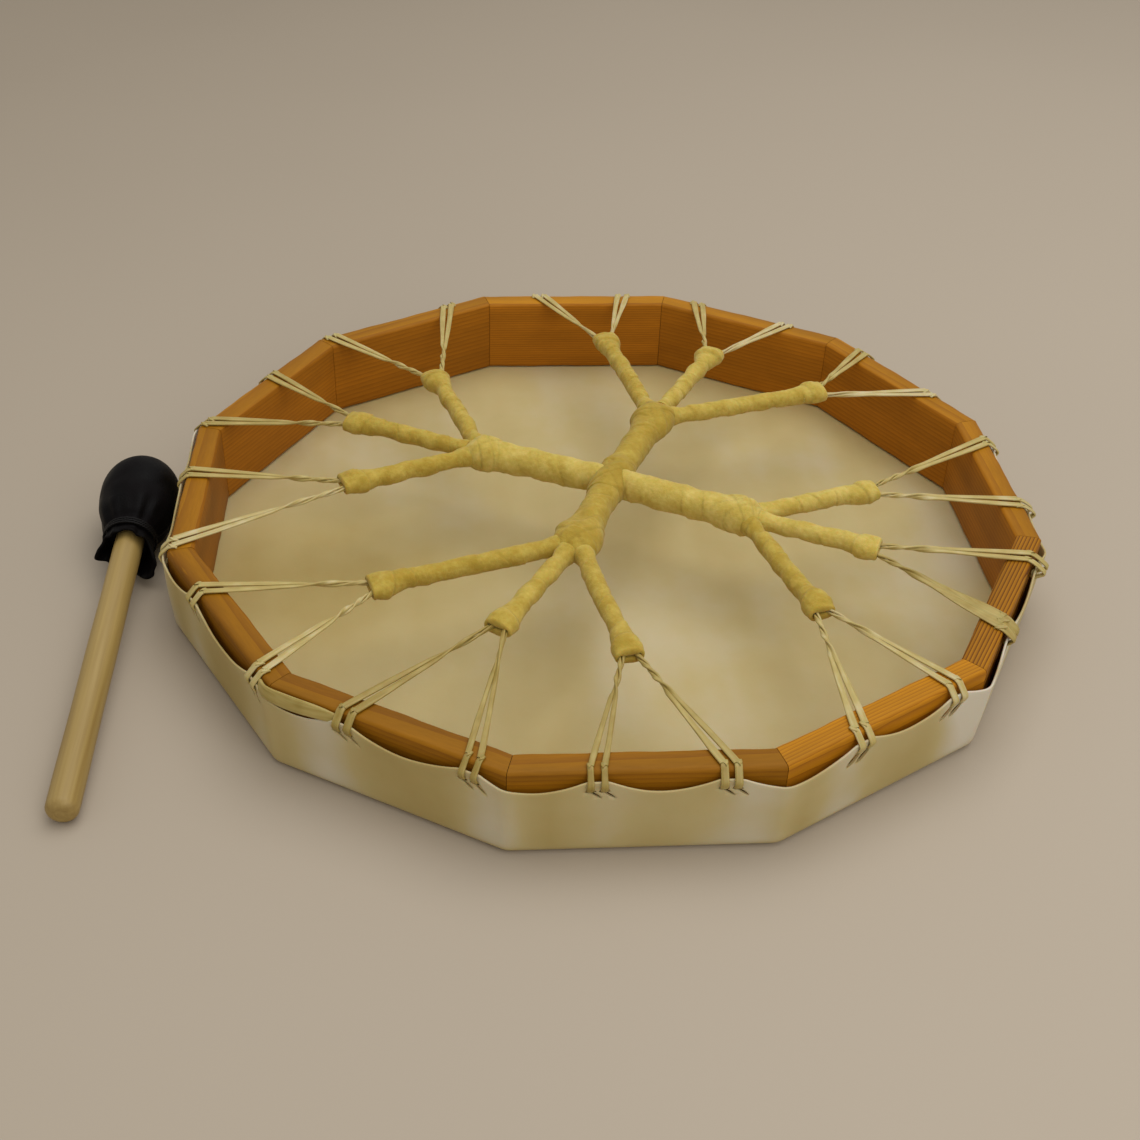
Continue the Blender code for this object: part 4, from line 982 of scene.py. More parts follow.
def gathered_strand(limb, twig, number):
    """Stops of one of the four strands of a twig, inside that twig and its limb."""
    stops = []
    sign = 1.0 if number < 2 else -1.0
    twig_turn = number * math.pi / 2.0
    limb_turn = (limb.twigs.index(twig) * 4 + number) * math.pi / 6.0
    side = np.append(twig.across, 0.0)
    mouth = twig.tip - twig.axis * 0.008
    for share in np.linspace(0.0, 1.0, 6):
        middle = np.append(mouth + (twig.fork - twig.tip + twig.axis * 0.008) * share, LACING_Z)
        spread = (1.0 - smoothstep(share * 5.0)) * sign * LACE_SPACING / 2.0
        turn = twig_turn + share * 2.0
        centre = middle + side * (spread + TWIG_BUNCH * math.cos(turn)) + UP * TWIG_BUNCH * math.sin(turn)
        wide = side * -math.sin(turn) + UP * math.cos(turn)
        stops.append([*centre, *wide, GATHERED_WIDTH, RIM_THICKNESS])
    side = np.append([-limb.axis[1], limb.axis[0]], 0.0)
    for share in np.linspace(0.25, 1.0, 5):
        middle = np.append(limb.fork + (HUB - limb.fork) * share * 0.94, LACING_Z)
        turn = limb_turn + share * 1.5
        centre = middle + (side * math.cos(turn) + UP * math.sin(turn)) * LIMB_BUNCH
        wide = side * -math.sin(turn) + UP * math.cos(turn)
        stops.append([*centre, *wide, GATHERED_WIDTH, RIM_THICKNESS])
    return np.array(stops)


strands = []
for limb in limbs:
    for twig in limb.twigs:
        for number in range(4):
            line = smooth_through(gathered_strand(limb, twig, number), 2)
            strands.append(closed_skin(strip_rings(line[:, :3], line[:, 3:6], line[:, 6], line[:, 7])))
points, faces = join_skins(strands)
bunch = add_piece("lace_bundle_strands", points, faces, lace_hide, "drum", 60.0)
paint(bunch, "strip", points)
paint(bunch, "tone", np.zeros(len(points)))
stand_for(bunch, "lace", "lace_bundle")
print("gathered strands:", len(strands))

# %% [markdown]
# ## Chamois
#
# The strips round the lacing are chamois, an oil-tanned split leather. It is buff yellow and
# quite matte, because both of its faces are raised to a soft nap, which also gives a faint
# sheen at the edges. The oil leaves it blotchy over about 10 mm, the nap is finer than the
# render shows and is drawn at under a millimetre, and shade is painted darker along the lap
# edges, at the edges of the crossing bands and in the folded lips.

# %% Chamois material
chamois, chamois_shader = new_material("chamois_leather", Roughness=0.95, Sheen_Weight=0.12,
                                       Sheen_Roughness=0.5, Specular_IOR_Level=0.12,
                                       Subsurface_Weight=0.25, Subsurface_Scale=0.003)
nap_place = add_node(chamois, "TexCoord").outputs["Object"]
crease = add_node(chamois, "Attribute", attribute_name="crease").outputs["Fac"]
strip_shade = add_node(chamois, "Attribute", attribute_name="strip_shade").outputs["Fac"]
blotch = add_node(chamois, "TexNoise", {"Vector": nap_place, "Scale": 110.0, "Detail": 3.0,
                                        "Roughness": 0.6})
nap = add_node(chamois, "TexNoise", {"Vector": nap_place, "Scale": 1500.0, "Detail": 2.0})
pits = add_node(chamois, "TexNoise", {"Vector": nap_place, "Scale": 420.0, "Detail": 3.0})
chamois_tone = add_node(chamois, "Mix", {0: 0.3, 2: blotch.outputs["Fac"], 3: pits.outputs["Fac"]},
                        data_type="FLOAT")
shaded_tone = add_node(chamois, "Math", {0: chamois_tone.outputs[0], 1: strip_shade},
                       operation="ADD")
chamois_colour = add_node(chamois, "ValToRGB", {"Fac": shaded_tone.outputs[0]},
                          ramp=((0.3, "#A88C31"), (1.0, "#DCC672"), (0.5, "#B5993E"), (0.7, "#C6AD52")))
# Painted shade: the crease share darkens the colour at lap steps, band edges and the folded mouth.
painted_crease_shade = add_node(chamois, "Math", {0: crease, 1: 0.22}, operation="MULTIPLY")
creased = add_node(chamois, "Mix", {0: painted_crease_shade.outputs[0], 6: chamois_colour.outputs["Color"],
                                    7: colour("#6E5A20")}, data_type="RGBA")
plug(chamois, creased.outputs[2], chamois_shader.inputs["Base Color"])
nap_relief = add_node(chamois, "Bump", {"Height": nap.outputs["Fac"], "Strength": 0.5, "Distance": 0.0004})
pit_relief = add_node(chamois, "Bump", {"Height": pits.outputs["Fac"], "Strength": 0.45, "Distance": 0.0009,
                                        "Normal": nap_relief.outputs["Normal"]})
plug(chamois, pit_relief.outputs["Normal"], chamois_shader.inputs["Normal"])
print("material:", chamois.name)

# %% [markdown]
# ## A lapped wrap
#
# A strip wound round a bunch of strands is a tube whose surface rises at each edge of the
# strip. How far a point is past the last edge is its distance along the tube in turns, less
# its angle in turns, less the whole part of that. The surface steps up just past the edge and
# falls slowly to the next one. Leather is never even: the edge wanders, the lap fades in
# places, and the whole is lumpy.

# %% Wraps
WRAP_COLUMNS = 60
WRAP_STEP = 0.0008
LAP_RISE = 0.00065
LUMP_RISE = 0.0006
PUCKER_RISE = 0.00012
EDGE_SHARE = 0.07
STRIP_SHADES = {"right_limb_wrap": 0.26, "left_limb_wrap": 0.22, "hub_wrap": -0.10,
                "upper_limb_wrap": -0.08, "lower_limb_wrap": -0.03, "upper_twig_wrap_2": 0.16,
                "upper_twig_wrap_3": 0.14, "right_twig_wrap_1": 0.24, "right_twig_wrap_2": 0.24,
                "lower_twig_wrap_2": 0.10}
wander = Ripple(21, 0.030)
fade = Ripple(22, 0.022)
lump = Ripple(23, 0.016)
pucker = Ripple(24, 0.004)


def lap(place, turns):
    """Rise of the surface, and how close to an edge it is, for a distance along the wrap in turns."""
    turns = turns + 0.26 * wander(place)
    past = turns - np.floor(turns)
    strength = np.clip(0.38 + 0.85 * fade(place), 0.03, 1.0)
    rise = LAP_RISE * strength * (1.0 - past) * smoothstep(past / EDGE_SHARE)
    rise = rise + LUMP_RISE * lump(place) + PUCKER_RISE * pucker(place)
    edge = np.exp(-(np.minimum(past, 1.0 - past) / 0.035) ** 2) * strength
    return rise, edge


def wrap_tube(start, axis, distances, half_width, half_height, shift, pitch, pinch=0.0):
    """Rings of a wrap: an oval at each distance, raised by the lap, and each point's edge share."""
    across = np.append([-axis[1], axis[0]], 0.0)
    angle = full_turn(WRAP_COLUMNS)
    centre = np.append(start, LACING_Z) + distances[:, None] * np.append(axis, 0.0) + shift[:, None] * across
    wide, high = np.cos(angle), np.sin(angle)
    narrowed = 1.0 - np.asarray(pinch)[..., None] * (1.0 - wide ** 2)
    oval = (across * (half_width[:, None] * wide)[..., None]
            + UP * (half_height[:, None] * high * narrowed)[..., None])
    rings = centre[:, None] + oval
    rise, edge = lap(rings, distances[:, None] / pitch - angle / (2.0 * math.pi))
    out = across * wide[:, None] + UP * high[:, None]
    return rings + out * rise[..., None], edge


def add_wrap(node, rings, edge):
    """A leather wrap that stands for its solid, with its strip's own shade."""
    points, faces = closed_skin(rings)
    piece = add_piece(f"{node}_leather", points, faces, chamois, "drum", 70.0)
    paint(piece, "crease", edge.ravel())
    paint(piece, "strip_shade", np.full(len(points), STRIP_SHADES.get(node, 0.04)))
    return stand_for(piece, "chamois", node)


def between(distance, stops, values):
    """A value that changes smoothly from stop to stop."""
    place = np.interp(distance, stops, np.arange(len(stops)))
    whole = np.minimum(place.astype(int), len(stops) - 2)
    values = np.asarray(values, float)
    return values[whole] + (values[whole + 1] - values[whole]) * smoothstep(place - whole)


print("wrap helper ready")

# %% [markdown]
# ## The twelve twigs
#
# Each twig is wrapped from its fork to its tip. It is a little wider where it leaves the fork,
# and its tip is a thick knob: the last turn goes over the two laces, which leave it at its
# corners. The lips roll inward in half a circle and close between the laces, so the mouth is
# only a fold.

# %% Make the twig wraps
TWIG_RADIUS = 0.0052
TWIG_NECK = 0.0047
TWIG_ROOT = 0.0062
TWIG_PITCH = 0.0105
MOUTH_FLARE = 0.021
MOUTH_HEIGHT = 0.0060
LIP_ROUND = 0.0011
LIP_CLOSED = 0.82
LAST_TURN_RISE = 0.0007
LIP_SHADE = np.array([0.0, 0.0, 0.1, 0.4, 0.8, 1.0, 1.0])
FORK_RADIUS = 0.0043
FORK_SPARE = 0.0006


def mouth_reach(twig):
    """How far the mouth reaches to both sides: each lace's place there, its width and the leather."""
    reaches = []
    for lace, start in zip(twig.laces, twig.starts):
        run = unit(lace.point(0.0, -ARRIS, LACING_Z)[:2] - start)
        forward, sideways = run @ twig.axis, run @ twig.across
        middle = (start - twig.fork) @ twig.across + MOUTH_DEPTH * sideways / forward
        reaches.append(middle + math.copysign(0.0034 / forward, middle))
    return min(reaches), max(reaches)


def make_twig_wrap(name, twig, fork_gap):
    """One twig's wrap with its knob and folded mouth."""
    start = twig.fork + twig.axis * fork_gap
    length = float((twig.tip - start) @ twig.axis)
    low, high = mouth_reach(twig)
    half = (high - low) / 2.0
    draw = np.random.default_rng(sum(name.encode()))
    distances = np.append(np.arange(0.0, length - WRAP_STEP / 2.0, WRAP_STEP), length)
    stops = [0.0, 0.010, 0.018, length - MOUTH_FLARE, length - 0.006, length]
    shaft = [TWIG_ROOT, TWIG_NECK, TWIG_RADIUS, TWIG_RADIUS]
    widths = between(distances, stops, [*shaft, half, half * 0.94])
    heights = between(distances, stops, [*shaft, MOUTH_HEIGHT, MOUTH_HEIGHT * 0.86])
    shift = between(distances, stops, [0.0, 0.0, 0.0, 0.0, (high + low) / 2.0, (high + low) / 2.0])
    pinch = 0.22 * smoothstep((distances - length + 0.008) / 0.008)
    rings, edge = wrap_tube(start, twig.axis, distances, widths, heights, shift, TWIG_PITCH, pinch)
    angle = full_turn(WRAP_COLUMNS)
    band = length - draw.uniform(0.008, 0.013) + 0.0022 * np.sin(angle + draw.uniform(0.0, 6.0))
    past_band = distances[:, None] - band
    middle_line = np.append(start, LACING_Z) + distances[:, None] * np.append(twig.axis, 0.0)
    outward = unit(rings - middle_line[:, None])
    rings = rings + outward * (LAST_TURN_RISE * smoothstep(past_band / 0.0010))[..., None]
    edge = np.maximum(edge * (past_band < 0.0), np.exp(-((past_band + 0.0002) / 0.0006) ** 2))
    wide = np.cos(angle)
    middle = rings[-1].mean(0)
    forward, lip = np.append(twig.axis, 0.0), []
    for swing in np.radians([30.0, 60.0, 90.0, 120.0, 150.0, 180.0]):
        inward = unit(middle - rings[-1]) * LIP_ROUND * (1.0 - math.cos(swing))
        ring = rings[-1] + inward + forward * LIP_ROUND * math.sin(swing)
        closing = LIP_CLOSED * smoothstep(swing / math.pi) * (1.0 - wide ** 4)
        ring[:, 2] = LACING_Z + (ring[:, 2] - LACING_Z) * (1.0 - closing)
        lip.append(ring)
    lip.append(lip[-1] - forward * 0.0045)
    rings = np.concatenate([rings, np.array(lip)])
    edge = np.concatenate([edge, np.repeat(LIP_SHADE[:, None], WRAP_COLUMNS, 1)])
    return add_wrap(name, rings, edge)


def fork_gap(limb):
    """How far from the fork the twigs part, so that they clear each other: radius over tangent."""
    axes = [math.atan2(twig.axis[1], twig.axis[0]) for twig in limb.twigs]
    turns = [abs((a - b + math.pi) % (2.0 * math.pi) - math.pi) for a, b in zip(axes, axes[1:])]
    return (FORK_RADIUS + FORK_SPARE + CLEARANCE) / math.tan(min(turns) / 2.0)


twig_wraps = [make_twig_wrap(f"{limb.name}_twig_wrap_{place + 1}", twig, fork_gap(limb) - 0.003)
              for limb in limbs for place, twig in enumerate(limb.twigs)]
print("twig wraps:", len(twig_wraps))

# %% [markdown]
# ## The four limbs
#
# A limb is thicker than a twig and swells into a knuckle at its fork, because the strip
# crosses there between the twigs. The knuckle is the same tube, widened and closed like the
# end of an egg. Two crossing turns lie on it as bands: a point is under a band if it lies
# close to a slanted plane through the fork.

# %% Make the limb wraps
LIMB_RADIUS = 0.0086
LIMB_PITCH = 0.0125
KNUCKLE_HEIGHT = 0.0100
BAND_HALF = 0.0033
BAND_RISE = 0.0006
TRUNK_GAP = 0.012
SIDE_GAP = 0.004
KNUCKLE_LEANS = {"upper": (28.0, -58.0), "right": (40.0, -50.0), "lower": (62.0, -30.0),
                 "left": (35.0, -40.0)}


def bands(rings, centre, axis, leans, reach):
    """Extra rise and edge share from strips that cross at slants near a centre."""
    flat = rings[..., :2] - centre
    near = smoothstep((reach - np.linalg.norm(flat, axis=-1)) / 0.004)
    rise, edge = 0.0, 0.0
    for lean in leans:
        turn = math.radians(lean)
        normal = np.array([axis[0] * math.cos(turn) - axis[1] * math.sin(turn),
                           axis[0] * math.sin(turn) + axis[1] * math.cos(turn)])
        off = flat @ normal + 0.0012 * wander(rings)
        inside = smoothstep((BAND_HALF - np.abs(off)) / 0.0010 + 0.5) * near
        rise = np.maximum(rise, inside)
        edge = np.maximum(edge, np.exp(-((np.abs(off) - BAND_HALF - 0.0004) / 0.0005) ** 2) * near)
    return rise * BAND_RISE, edge


def round_end(distances, from_start, from_end, rounding):
    """Share of the full size near both closed ends: a quarter circle's height over the rounding."""
    left = np.clip((distances - distances[0]) / rounding + 0.02, 0.0, 1.0) if from_start else 1.0
    right = np.clip((distances[-1] - distances) / rounding + 0.02, 0.0, 1.0) if from_end else 1.0
    return np.sqrt(1.0 - (1.0 - np.minimum(left, right)) ** 2)


def out_from_axis(rings, axis):
    """Directions square to an axis through the hub, in which a band is raised."""
    base, along = np.append(HUB, LACING_Z), np.append(axis, 0.0)
    return unit(rings - base - (rings - base) @ along[:, None] * along + 1e-9)


def make_limb_wrap(limb, start_gap):
    """One limb's wrap with its knuckle."""
    start = HUB + limb.axis * start_gap
    to_fork = float((limb.fork - start) @ limb.axis)
    bulb = fork_gap(limb)
    length = to_fork + bulb
    distances = np.append(np.arange(0.0, length - WRAP_STEP / 2.0, WRAP_STEP), length)
    widths = between(distances, [0.0, to_fork - 1.9 * bulb, to_fork - 0.1 * bulb, length],
                     [LIMB_RADIUS, LIMB_RADIUS, bulb * 0.94, bulb * 0.94])
    heights = between(distances, [0.0, to_fork - 1.2 * bulb, to_fork, length],
                      [LIMB_RADIUS, LIMB_RADIUS, KNUCKLE_HEIGHT, KNUCKLE_HEIGHT * 0.8])
    closing = round_end(distances, False, True, bulb * 1.02)
    rings, edge = wrap_tube(start, limb.axis, distances, widths * closing, heights * closing,
                            np.zeros_like(distances), LIMB_PITCH)
    rise, band_edge = bands(rings, limb.fork, limb.axis, KNUCKLE_LEANS[limb.name], 1.5 * bulb)
    rings = rings + out_from_axis(rings, limb.axis) * rise[..., None]
    edge = np.maximum(edge * (1.0 - rise / BAND_RISE), band_edge)
    return add_wrap(f"{limb.name}_limb_wrap", rings, edge)


limb_wraps = [make_limb_wrap(limb, TRUNK_GAP if place % 2 == 0 else SIDE_GAP)
              for place, limb in enumerate(limbs)]
print("limb wraps:", len(limb_wraps))

# %% [markdown]
# ## The hub
#
# The hub is the hand hold: a short thick wrap along two opposite limbs, with two crossing
# turns over the middle. Its ends taper onto the limbs.

# %% Make the hub wrap
HUB_LENGTH = 0.036
HUB_RADIUS = 0.0101
trunk = unit(limbs[0].fork - limbs[2].fork)
hub_start = HUB - trunk * HUB_LENGTH / 2.0
distances = np.linspace(0.0, HUB_LENGTH, 46)
hub_size = between(distances, [0.0, 0.010, 0.026, HUB_LENGTH], [0.0090, HUB_RADIUS, HUB_RADIUS, 0.0090])
hub_size = hub_size * round_end(distances, True, True, 0.0012)
rings, edge = wrap_tube(hub_start, trunk, distances, hub_size, hub_size, np.zeros_like(distances),
                        LIMB_PITCH)
rise, band_edge = bands(rings, HUB, trunk, (45.0, -45.0), 0.021)
rings = rings + out_from_axis(rings, trunk) * rise[..., None]
hub = add_wrap("hub_wrap", rings, np.maximum(edge * (1.0 - rise / BAND_RISE), band_edge))
print("hub:", len(hub.data.polygons), "faces")

# %% [markdown]
# ## The beater
#
# The beater is a birch dowel with a padded head. Black leather is pulled over the felt, tied
# round the neck and left to flare in a short skirt. Stick, cover and padding are turned shapes,
# a line of radii along an axis, swept round it, and the tie is a strand wound round that axis.
# All are made along the axis of the stick and then laid down, head and butt both touching the
# table, so the tilt is the angle whose tangent is the difference of the two radii over the
# distance between the two points that touch.

# %% Lay the beater down
BEATER_LENGTH = 0.274
STICK_RADIUS = 0.008
HEAD_RADIUS = 0.023
HEAD_CROWN = 0.028
BEATER_PLACE = (-0.2723, -0.215)
BUTT_TOUCH = 0.004
TILT = math.atan((HEAD_RADIUS - STICK_RADIUS) / (BEATER_LENGTH - HEAD_CROWN - BUTT_TOUCH))
TURN_COLUMNS = 72


def lay_down(points):
    """Tips points about the butt, head up, and moves them to their place on the table."""
    x, y, z = points[..., 0], points[..., 1], points[..., 2]
    run, climb = math.cos(TILT), math.sin(TILT)
    tipped = np.stack([x, y * run - z * climb, y * climb + z * run], -1)
    return tipped + np.array([*BEATER_PLACE, STICK_RADIUS * run - BUTT_TOUCH * climb])


def turned(radii, along):
    """Rings round the stick's axis: radius and distance may differ at every angle."""
    angle = full_turn(TURN_COLUMNS)
    radii = np.broadcast_to(radii, (len(radii), TURN_COLUMNS))
    along = np.broadcast_to(along, (len(along), TURN_COLUMNS))
    return np.stack([radii * np.cos(angle), along, radii * np.sin(angle)], -1)


print("beater tips by", round(math.degrees(TILT), 2), "degrees")

# %% [markdown]
# ## Birch
#
# The stick is a plain sanded dowel of birch or maple: pale, close-grained, with faint streaks
# along its length and a slight polish from the hand.

# %% Birch material
birch, birch_shader = new_material("sanded_birch", Roughness=0.5, IOR=1.5)
dowel = add_node(birch, "Attribute", attribute_name="grain").outputs["Vector"]
dowel_map = add_node(birch, "Mapping", {"Vector": dowel, "Scale": (420.0, 9.0, 420.0)})
streaks = add_node(birch, "TexNoise", {"Vector": dowel_map.outputs["Vector"], "Scale": 1.0, "Detail": 4.0,
                                       "Roughness": 0.6})
wide_map = add_node(birch, "Mapping", {"Vector": dowel, "Scale": (90.0, 6.0, 90.0)})
wide_streaks = add_node(birch, "TexNoise", {"Vector": wide_map.outputs["Vector"], "Scale": 1.0,
                                            "Detail": 2.0})
birch_tone = add_node(birch, "Mix", {0: 0.45, 2: streaks.outputs["Fac"], 3: wide_streaks.outputs["Fac"]},
                      data_type="FLOAT")
birch_colour = add_node(birch, "ValToRGB", {"Fac": birch_tone.outputs[0]},
                        ramp=((0.3, "#8E723A"), (0.72, "#AE9356"), (0.5, "#9F8448")))
plug(birch, birch_colour.outputs["Color"], birch_shader.inputs["Base Color"])
birch_relief = add_node(birch, "Bump", {"Height": streaks.outputs["Fac"], "Strength": 0.2,
                                        "Distance": 0.0003})
plug(birch, birch_relief.outputs["Normal"], birch_shader.inputs["Normal"])
print("material:", birch.name)

# %% [markdown]
# ## Make the stick
#
# The stick is a turned dowel with a rounded butt. Its far end stops inside the head.

# %% Make the stick
STICK_END = BEATER_LENGTH - 0.020
butt = arc((STICK_RADIUS - 0.0045, 0.0045), 0.0045, -86.0, 0.0, 8)
far_end = arc((STICK_RADIUS - 0.002, STICK_END - 0.002), 0.002, 0.0, 86.0, 4)
shaft = np.stack([np.full(40, STICK_RADIUS), np.linspace(0.006, STICK_END - 0.004, 40)], -1)
shaft[:, 0] += 0.00008 * np.sin(shaft[:, 1] * 70.0)
stick_line = np.concatenate([butt, shaft, far_end])
upright_stick = turned(stick_line[:, :1], stick_line[:, 1:])
points, faces = closed_skin(lay_down(upright_stick))
stick = add_piece("beater_stick_dowel", points, faces, birch, "beater", 50.0)
paint(stick, "grain", upright_stick.reshape(-1, 3))
stand_for(stick, "stick_wood", "beater_stick")
print("stick:", round(STICK_END * 1000), "mm")

# %% [markdown]
# ## Black leather, felt and thread
#
# The cover is thin black glove leather. It is nearly black, with a soft shine that breaks up
# over its grain of about a millimetre, and it is rougher in scuffed patches. The padding
# inside is packed wool felt, and the tie is waxed thread.

# %% Beater materials
leather, leather_shader = new_material("black_glove_leather", Roughness=0.6, IOR=1.5,
                                       Specular_IOR_Level=0.08)
leather_place = add_node(leather, "TexCoord").outputs["Object"]
cells = add_node(leather, "TexVoronoi", {"Vector": leather_place, "Scale": 950.0})
scuffs = add_node(leather, "TexNoise", {"Vector": leather_place, "Scale": 60.0, "Detail": 3.0})
leather_colour = add_node(leather, "ValToRGB", {"Fac": scuffs.outputs["Fac"]},
                          ramp=((0.35, "#040303"), (0.75, "#0B0708")))
leather_rough = add_node(leather, "MapRange", {"Value": scuffs.outputs["Fac"], 1: 0.3, 2: 0.7, 3: 0.42,
                                               4: 0.7})
plug(leather, leather_colour.outputs["Color"], leather_shader.inputs["Base Color"])
plug(leather, leather_rough.outputs[0], leather_shader.inputs["Roughness"])
leather_relief = add_node(leather, "Bump", {"Height": cells.outputs["Distance"], "Strength": 0.25,
                                            "Distance": 0.0004})
plug(leather, leather_relief.outputs["Normal"], leather_shader.inputs["Normal"])

felt, felt_shader = new_material("packed_wool_felt", Roughness=0.97, Sheen_Weight=0.3)
felt_place = add_node(felt, "TexCoord").outputs["Object"]
wool = add_node(felt, "TexNoise", {"Vector": felt_place, "Scale": 500.0, "Detail": 4.0})
felt_colour = add_node(felt, "ValToRGB", {"Fac": wool.outputs["Fac"]},
                       ramp=((0.3, "#8E8878"), (0.7, "#C6BFAE")))
plug(felt, felt_colour.outputs["Color"], felt_shader.inputs["Base Color"])
felt_relief = add_node(felt, "Bump", {"Height": wool.outputs["Fac"], "Strength": 0.6, "Distance": 0.0008})
plug(felt, felt_relief.outputs["Normal"], felt_shader.inputs["Normal"])

waxed, waxed_shader = new_material("waxed_black_thread", Roughness=0.5, Specular_IOR_Level=0.15)
thread_run = add_node(waxed, "Attribute", attribute_name="strip").outputs["Vector"]
plies = add_node(waxed, "TexWave", {"Vector": thread_run, "Scale": 400.0, "Distortion": 1.0},
                 wave_type="BANDS", bands_direction="DIAGONAL")
thread_colour = add_node(waxed, "ValToRGB", {"Fac": plies.outputs["Fac"]},
                         ramp=((0.2, "#050404"), (0.8, "#120F0E")))
plug(waxed, thread_colour.outputs["Color"], waxed_shader.inputs["Base Color"])
thread_relief = add_node(waxed, "Bump", {"Height": plies.outputs["Fac"], "Strength": 0.5,
                                         "Distance": 0.0003})
plug(waxed, thread_relief.outputs["Normal"], waxed_shader.inputs["Normal"])
print("materials:", leather.name, felt.name, waxed.name)

# %% [markdown]
# ## The padded head
#
# The line of the head is an oval crown, a long fall to the neck, a groove under the tie and a
# flaring skirt. The pleats grow from nothing behind the widest part to full depth at the tie.
# The skirt was cut by eye: it is short on top, longer on one side underneath, and folds out to
# a point on the other side.

# %% Make the cover
GROOVE_FROM = 0.0635
GROOVE_TO = 0.0720
GROOVE_RADIUS = 0.0134
NECK_RADIUS = 0.0146
COVER = 0.0014
PLEATS = ((9.0, 0.7, 0.5), (14.0, 2.0, 0.35), (5.0, 0.0, 0.25))
PLEATS_FROM = 0.036
PLEAT_DEPTH = 0.0012
LOWEST = 0.0001
crease_wave = Ripple(31, 0.012)


def head_radius(back):
    """Radius of the head at a distance back from the crown."""
    crown = HEAD_RADIUS * np.sqrt(np.clip(1.0 - (1.0 - back / HEAD_CROWN) ** 2, 0.0, 1.0))
    fall = np.clip((back - HEAD_CROWN) / (GROOVE_FROM - 0.002 - HEAD_CROWN), 0.0, 1.0)
    body = NECK_RADIUS + (HEAD_RADIUS - NECK_RADIUS) * (1.0 - fall ** 2) ** 0.75
    return np.where(back < HEAD_CROWN, crown, body)


def swell(bearing, spread):
    """One at a bearing round the neck, falling away on both sides as a bell curve does."""
    off = np.angle(np.exp(1j * (angle - math.radians(bearing))))
    return np.exp(-(off / spread) ** 2)


angle = full_turn(TURN_COLUMNS)
crown_back = HEAD_CROWN * (1.0 - np.cos(np.linspace(0.06, math.pi / 2.0, 22)))
fall_back = np.linspace(HEAD_CROWN, GROOVE_FROM - 0.002, 30)[1:]
back = np.concatenate([crown_back, fall_back])
pleat = sum(size * np.cos(count * angle + phase) for count, phase, size in PLEATS)
depth = PLEAT_DEPTH * smoothstep((back - PLEATS_FROM) / 0.026)
radii = head_radius(back)[:, None] + depth[:, None] * pleat
cover_backs = np.broadcast_to(back[:, None], radii.shape)

groove_back = np.linspace(GROOVE_FROM, GROOVE_TO, 6)
groove_radii = GROOVE_RADIUS + 0.0004 * pleat[None] * np.ones((6, 1))
left, under, over = swell(188.0, 0.34), swell(330.0, 0.80), swell(95.0, 0.9)
skirt_length = 0.0060 + 0.0115 * under + 0.0022 * left - 0.0030 * over + 0.0008 * np.cos(6.0 * angle)
skirt_flare = 0.0010 + 0.0046 * left + 0.0034 * under - 0.0012 * over
skirt_share = np.linspace(0.12, 1.0, 12)[:, None]
skirt_back = GROOVE_TO + skirt_length * skirt_share
skirt_radii = (GROOVE_RADIUS + 0.0009 * pleat * np.sin(math.pi / 2.0 * skirt_share)
               + skirt_flare * skirt_share ** 1.3)

outer_radii = np.concatenate([radii, groove_radii, skirt_radii])
outer_backs = np.concatenate([cover_backs, np.repeat(groove_back[:, None], TURN_COLUMNS, 1), skirt_back])
inner_radii = np.concatenate([skirt_radii[-1:] - COVER * 0.5, skirt_radii[::-3] - COVER,
                              np.full((2, TURN_COLUMNS), GROOVE_RADIUS - COVER),
                              np.full((1, TURN_COLUMNS), STICK_RADIUS - 0.0006)])
inner_backs = np.concatenate([skirt_back[-1:] + 0.0004, skirt_back[::-3],
                              np.full((1, TURN_COLUMNS), GROOVE_TO),
                              np.full((2, TURN_COLUMNS), GROOVE_TO - 0.004)])
all_radii = np.concatenate([outer_radii, inner_radii])
all_backs = np.concatenate([outer_backs, inner_backs])
upright_cover = turned(all_radii, BEATER_LENGTH - all_backs)
crumple = 0.00035 * crease_wave(upright_cover) * smoothstep((all_backs - 0.02) / 0.03)
upright_cover = turned(all_radii + crumple, BEATER_LENGTH - all_backs)
laid_cover = lay_down(upright_cover)
laid_cover[..., 2] = np.maximum(laid_cover[..., 2], LOWEST)
points, faces = closed_skin(laid_cover)
cover = add_piece("beater_cover_leather", points, faces, leather, "beater", 60.0)
stand_for(cover, "black_leather", "beater_cover")
print("cover:", len(faces), "faces, head", round(2000 * HEAD_RADIUS), "mm across")

# %% [markdown]
# ## Make the padding and the tie
#
# The padding fills the cover and is drawn in where the pleats are. The thread winds round the
# neck in the groove, and its two ends are tucked in.

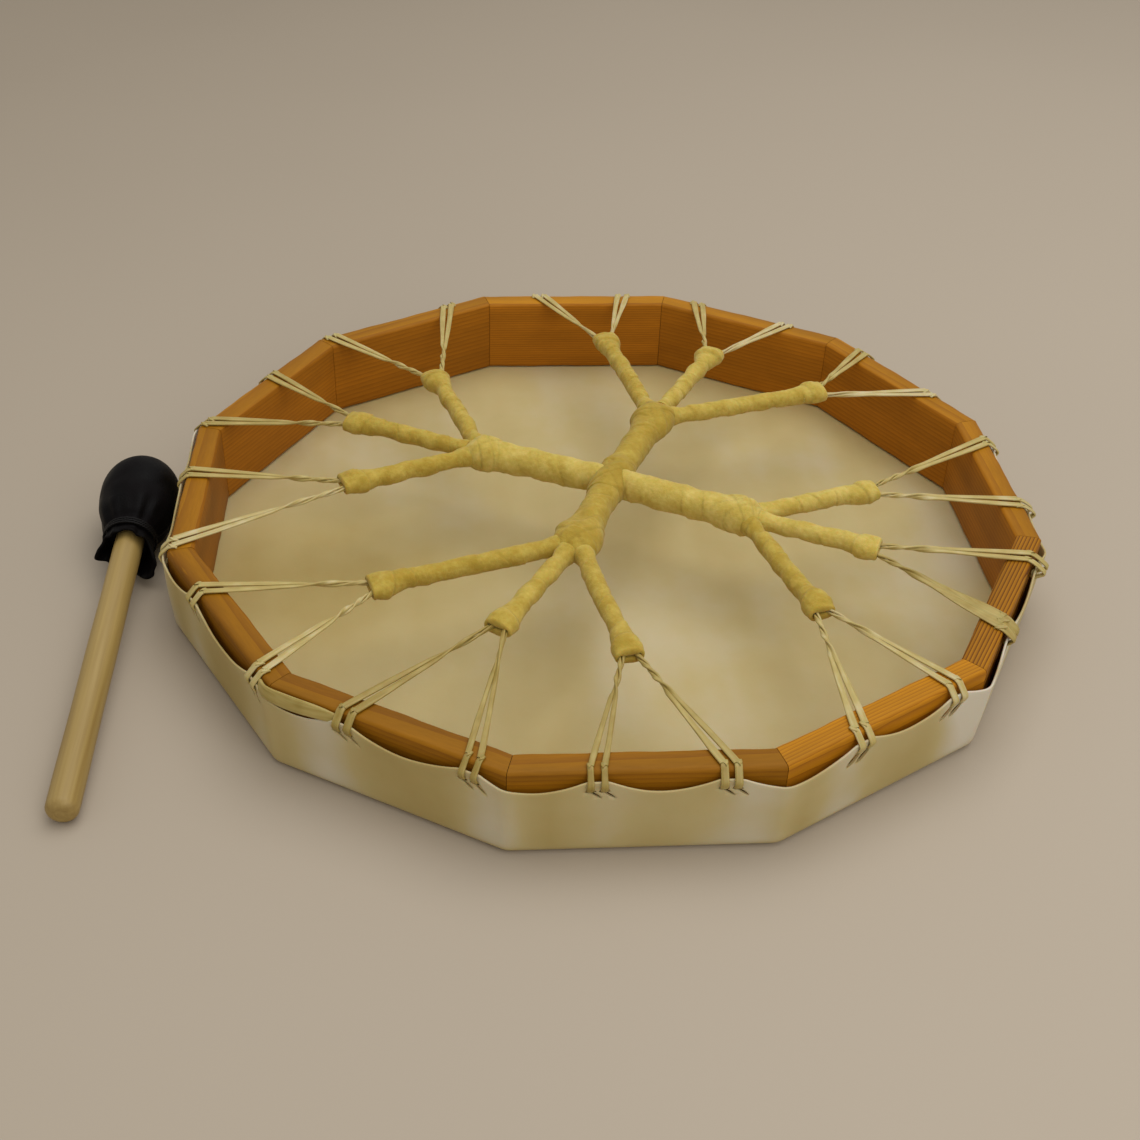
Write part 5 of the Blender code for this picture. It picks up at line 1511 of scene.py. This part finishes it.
# %% Make the padding and the tie
THREAD = 0.0013
THREAD_LOOPS = 3
THREAD_PITCH = 0.0018
pad_back = np.concatenate([HEAD_CROWN * (1.0 - np.cos(np.linspace(0.09, math.pi / 2.0, 14))),
                           np.linspace(HEAD_CROWN, GROOVE_TO - 0.005, 16)[1:]])
inside = COVER + 2.0 * CLEARANCE
drawn_in = PLEAT_DEPTH * smoothstep((pad_back - PLEATS_FROM) / 0.026)
pad_radii = np.clip(head_radius(pad_back) - inside - drawn_in, 0.0008, None)
pad_radii = np.append(pad_radii, [GROOVE_RADIUS - 0.003, STICK_RADIUS - 0.0004])
pad_along = BEATER_LENGTH - np.append(pad_back + inside * np.exp(-pad_back / 0.01),
                                      [GROOVE_TO - 0.0046, GROOVE_TO - 0.0045])
points, faces = closed_skin(lay_down(turned(pad_radii[:, None], pad_along[:, None])))
stand_for(add_piece("beater_padding_felt", points, faces, felt, "beater"), "felt", "beater_padding")

turns = np.linspace(0.0, THREAD_LOOPS, THREAD_LOOPS * 24 + 1)
swing = turns * 2.0 * math.pi
loop = GROOVE_RADIUS + 0.0006 + THREAD / 2.0
thread_along = BEATER_LENGTH - (GROOVE_FROM + GROOVE_TO) / 2.0 + (turns - THREAD_LOOPS / 2.0) * THREAD_PITCH
thread_line = np.stack([loop * np.cos(swing), thread_along, loop * np.sin(swing)], -1)
thread_line[[0, -1]] *= np.array([0.93, 1.0, 0.93])
along_way = np.repeat(np.array([[0.0, 1.0, 0.0]]), len(turns), 0)
thread_rings = strip_rings(thread_line, along_way, np.full(len(turns), THREAD), np.full(len(turns), THREAD))
points, faces = closed_skin(lay_down(thread_rings))
tie = add_piece("beater_tie_thread", points, faces, waxed, "beater", 60.0)
around = np.broadcast_to(np.arange(STRIP_COLUMNS) / STRIP_COLUMNS * THREAD * 3.0, thread_rings.shape[:2])
wound = np.repeat((swing * loop)[:, None], STRIP_COLUMNS, 1)
paint(tie, "strip", np.stack([wound, around, 0.0 * around], -1)
      .reshape(-1, 3))
stand_for(tie, "thread", "beater_tie")
print("tie:", THREAD_LOOPS, "turns of", THREAD * 1000, "mm thread")
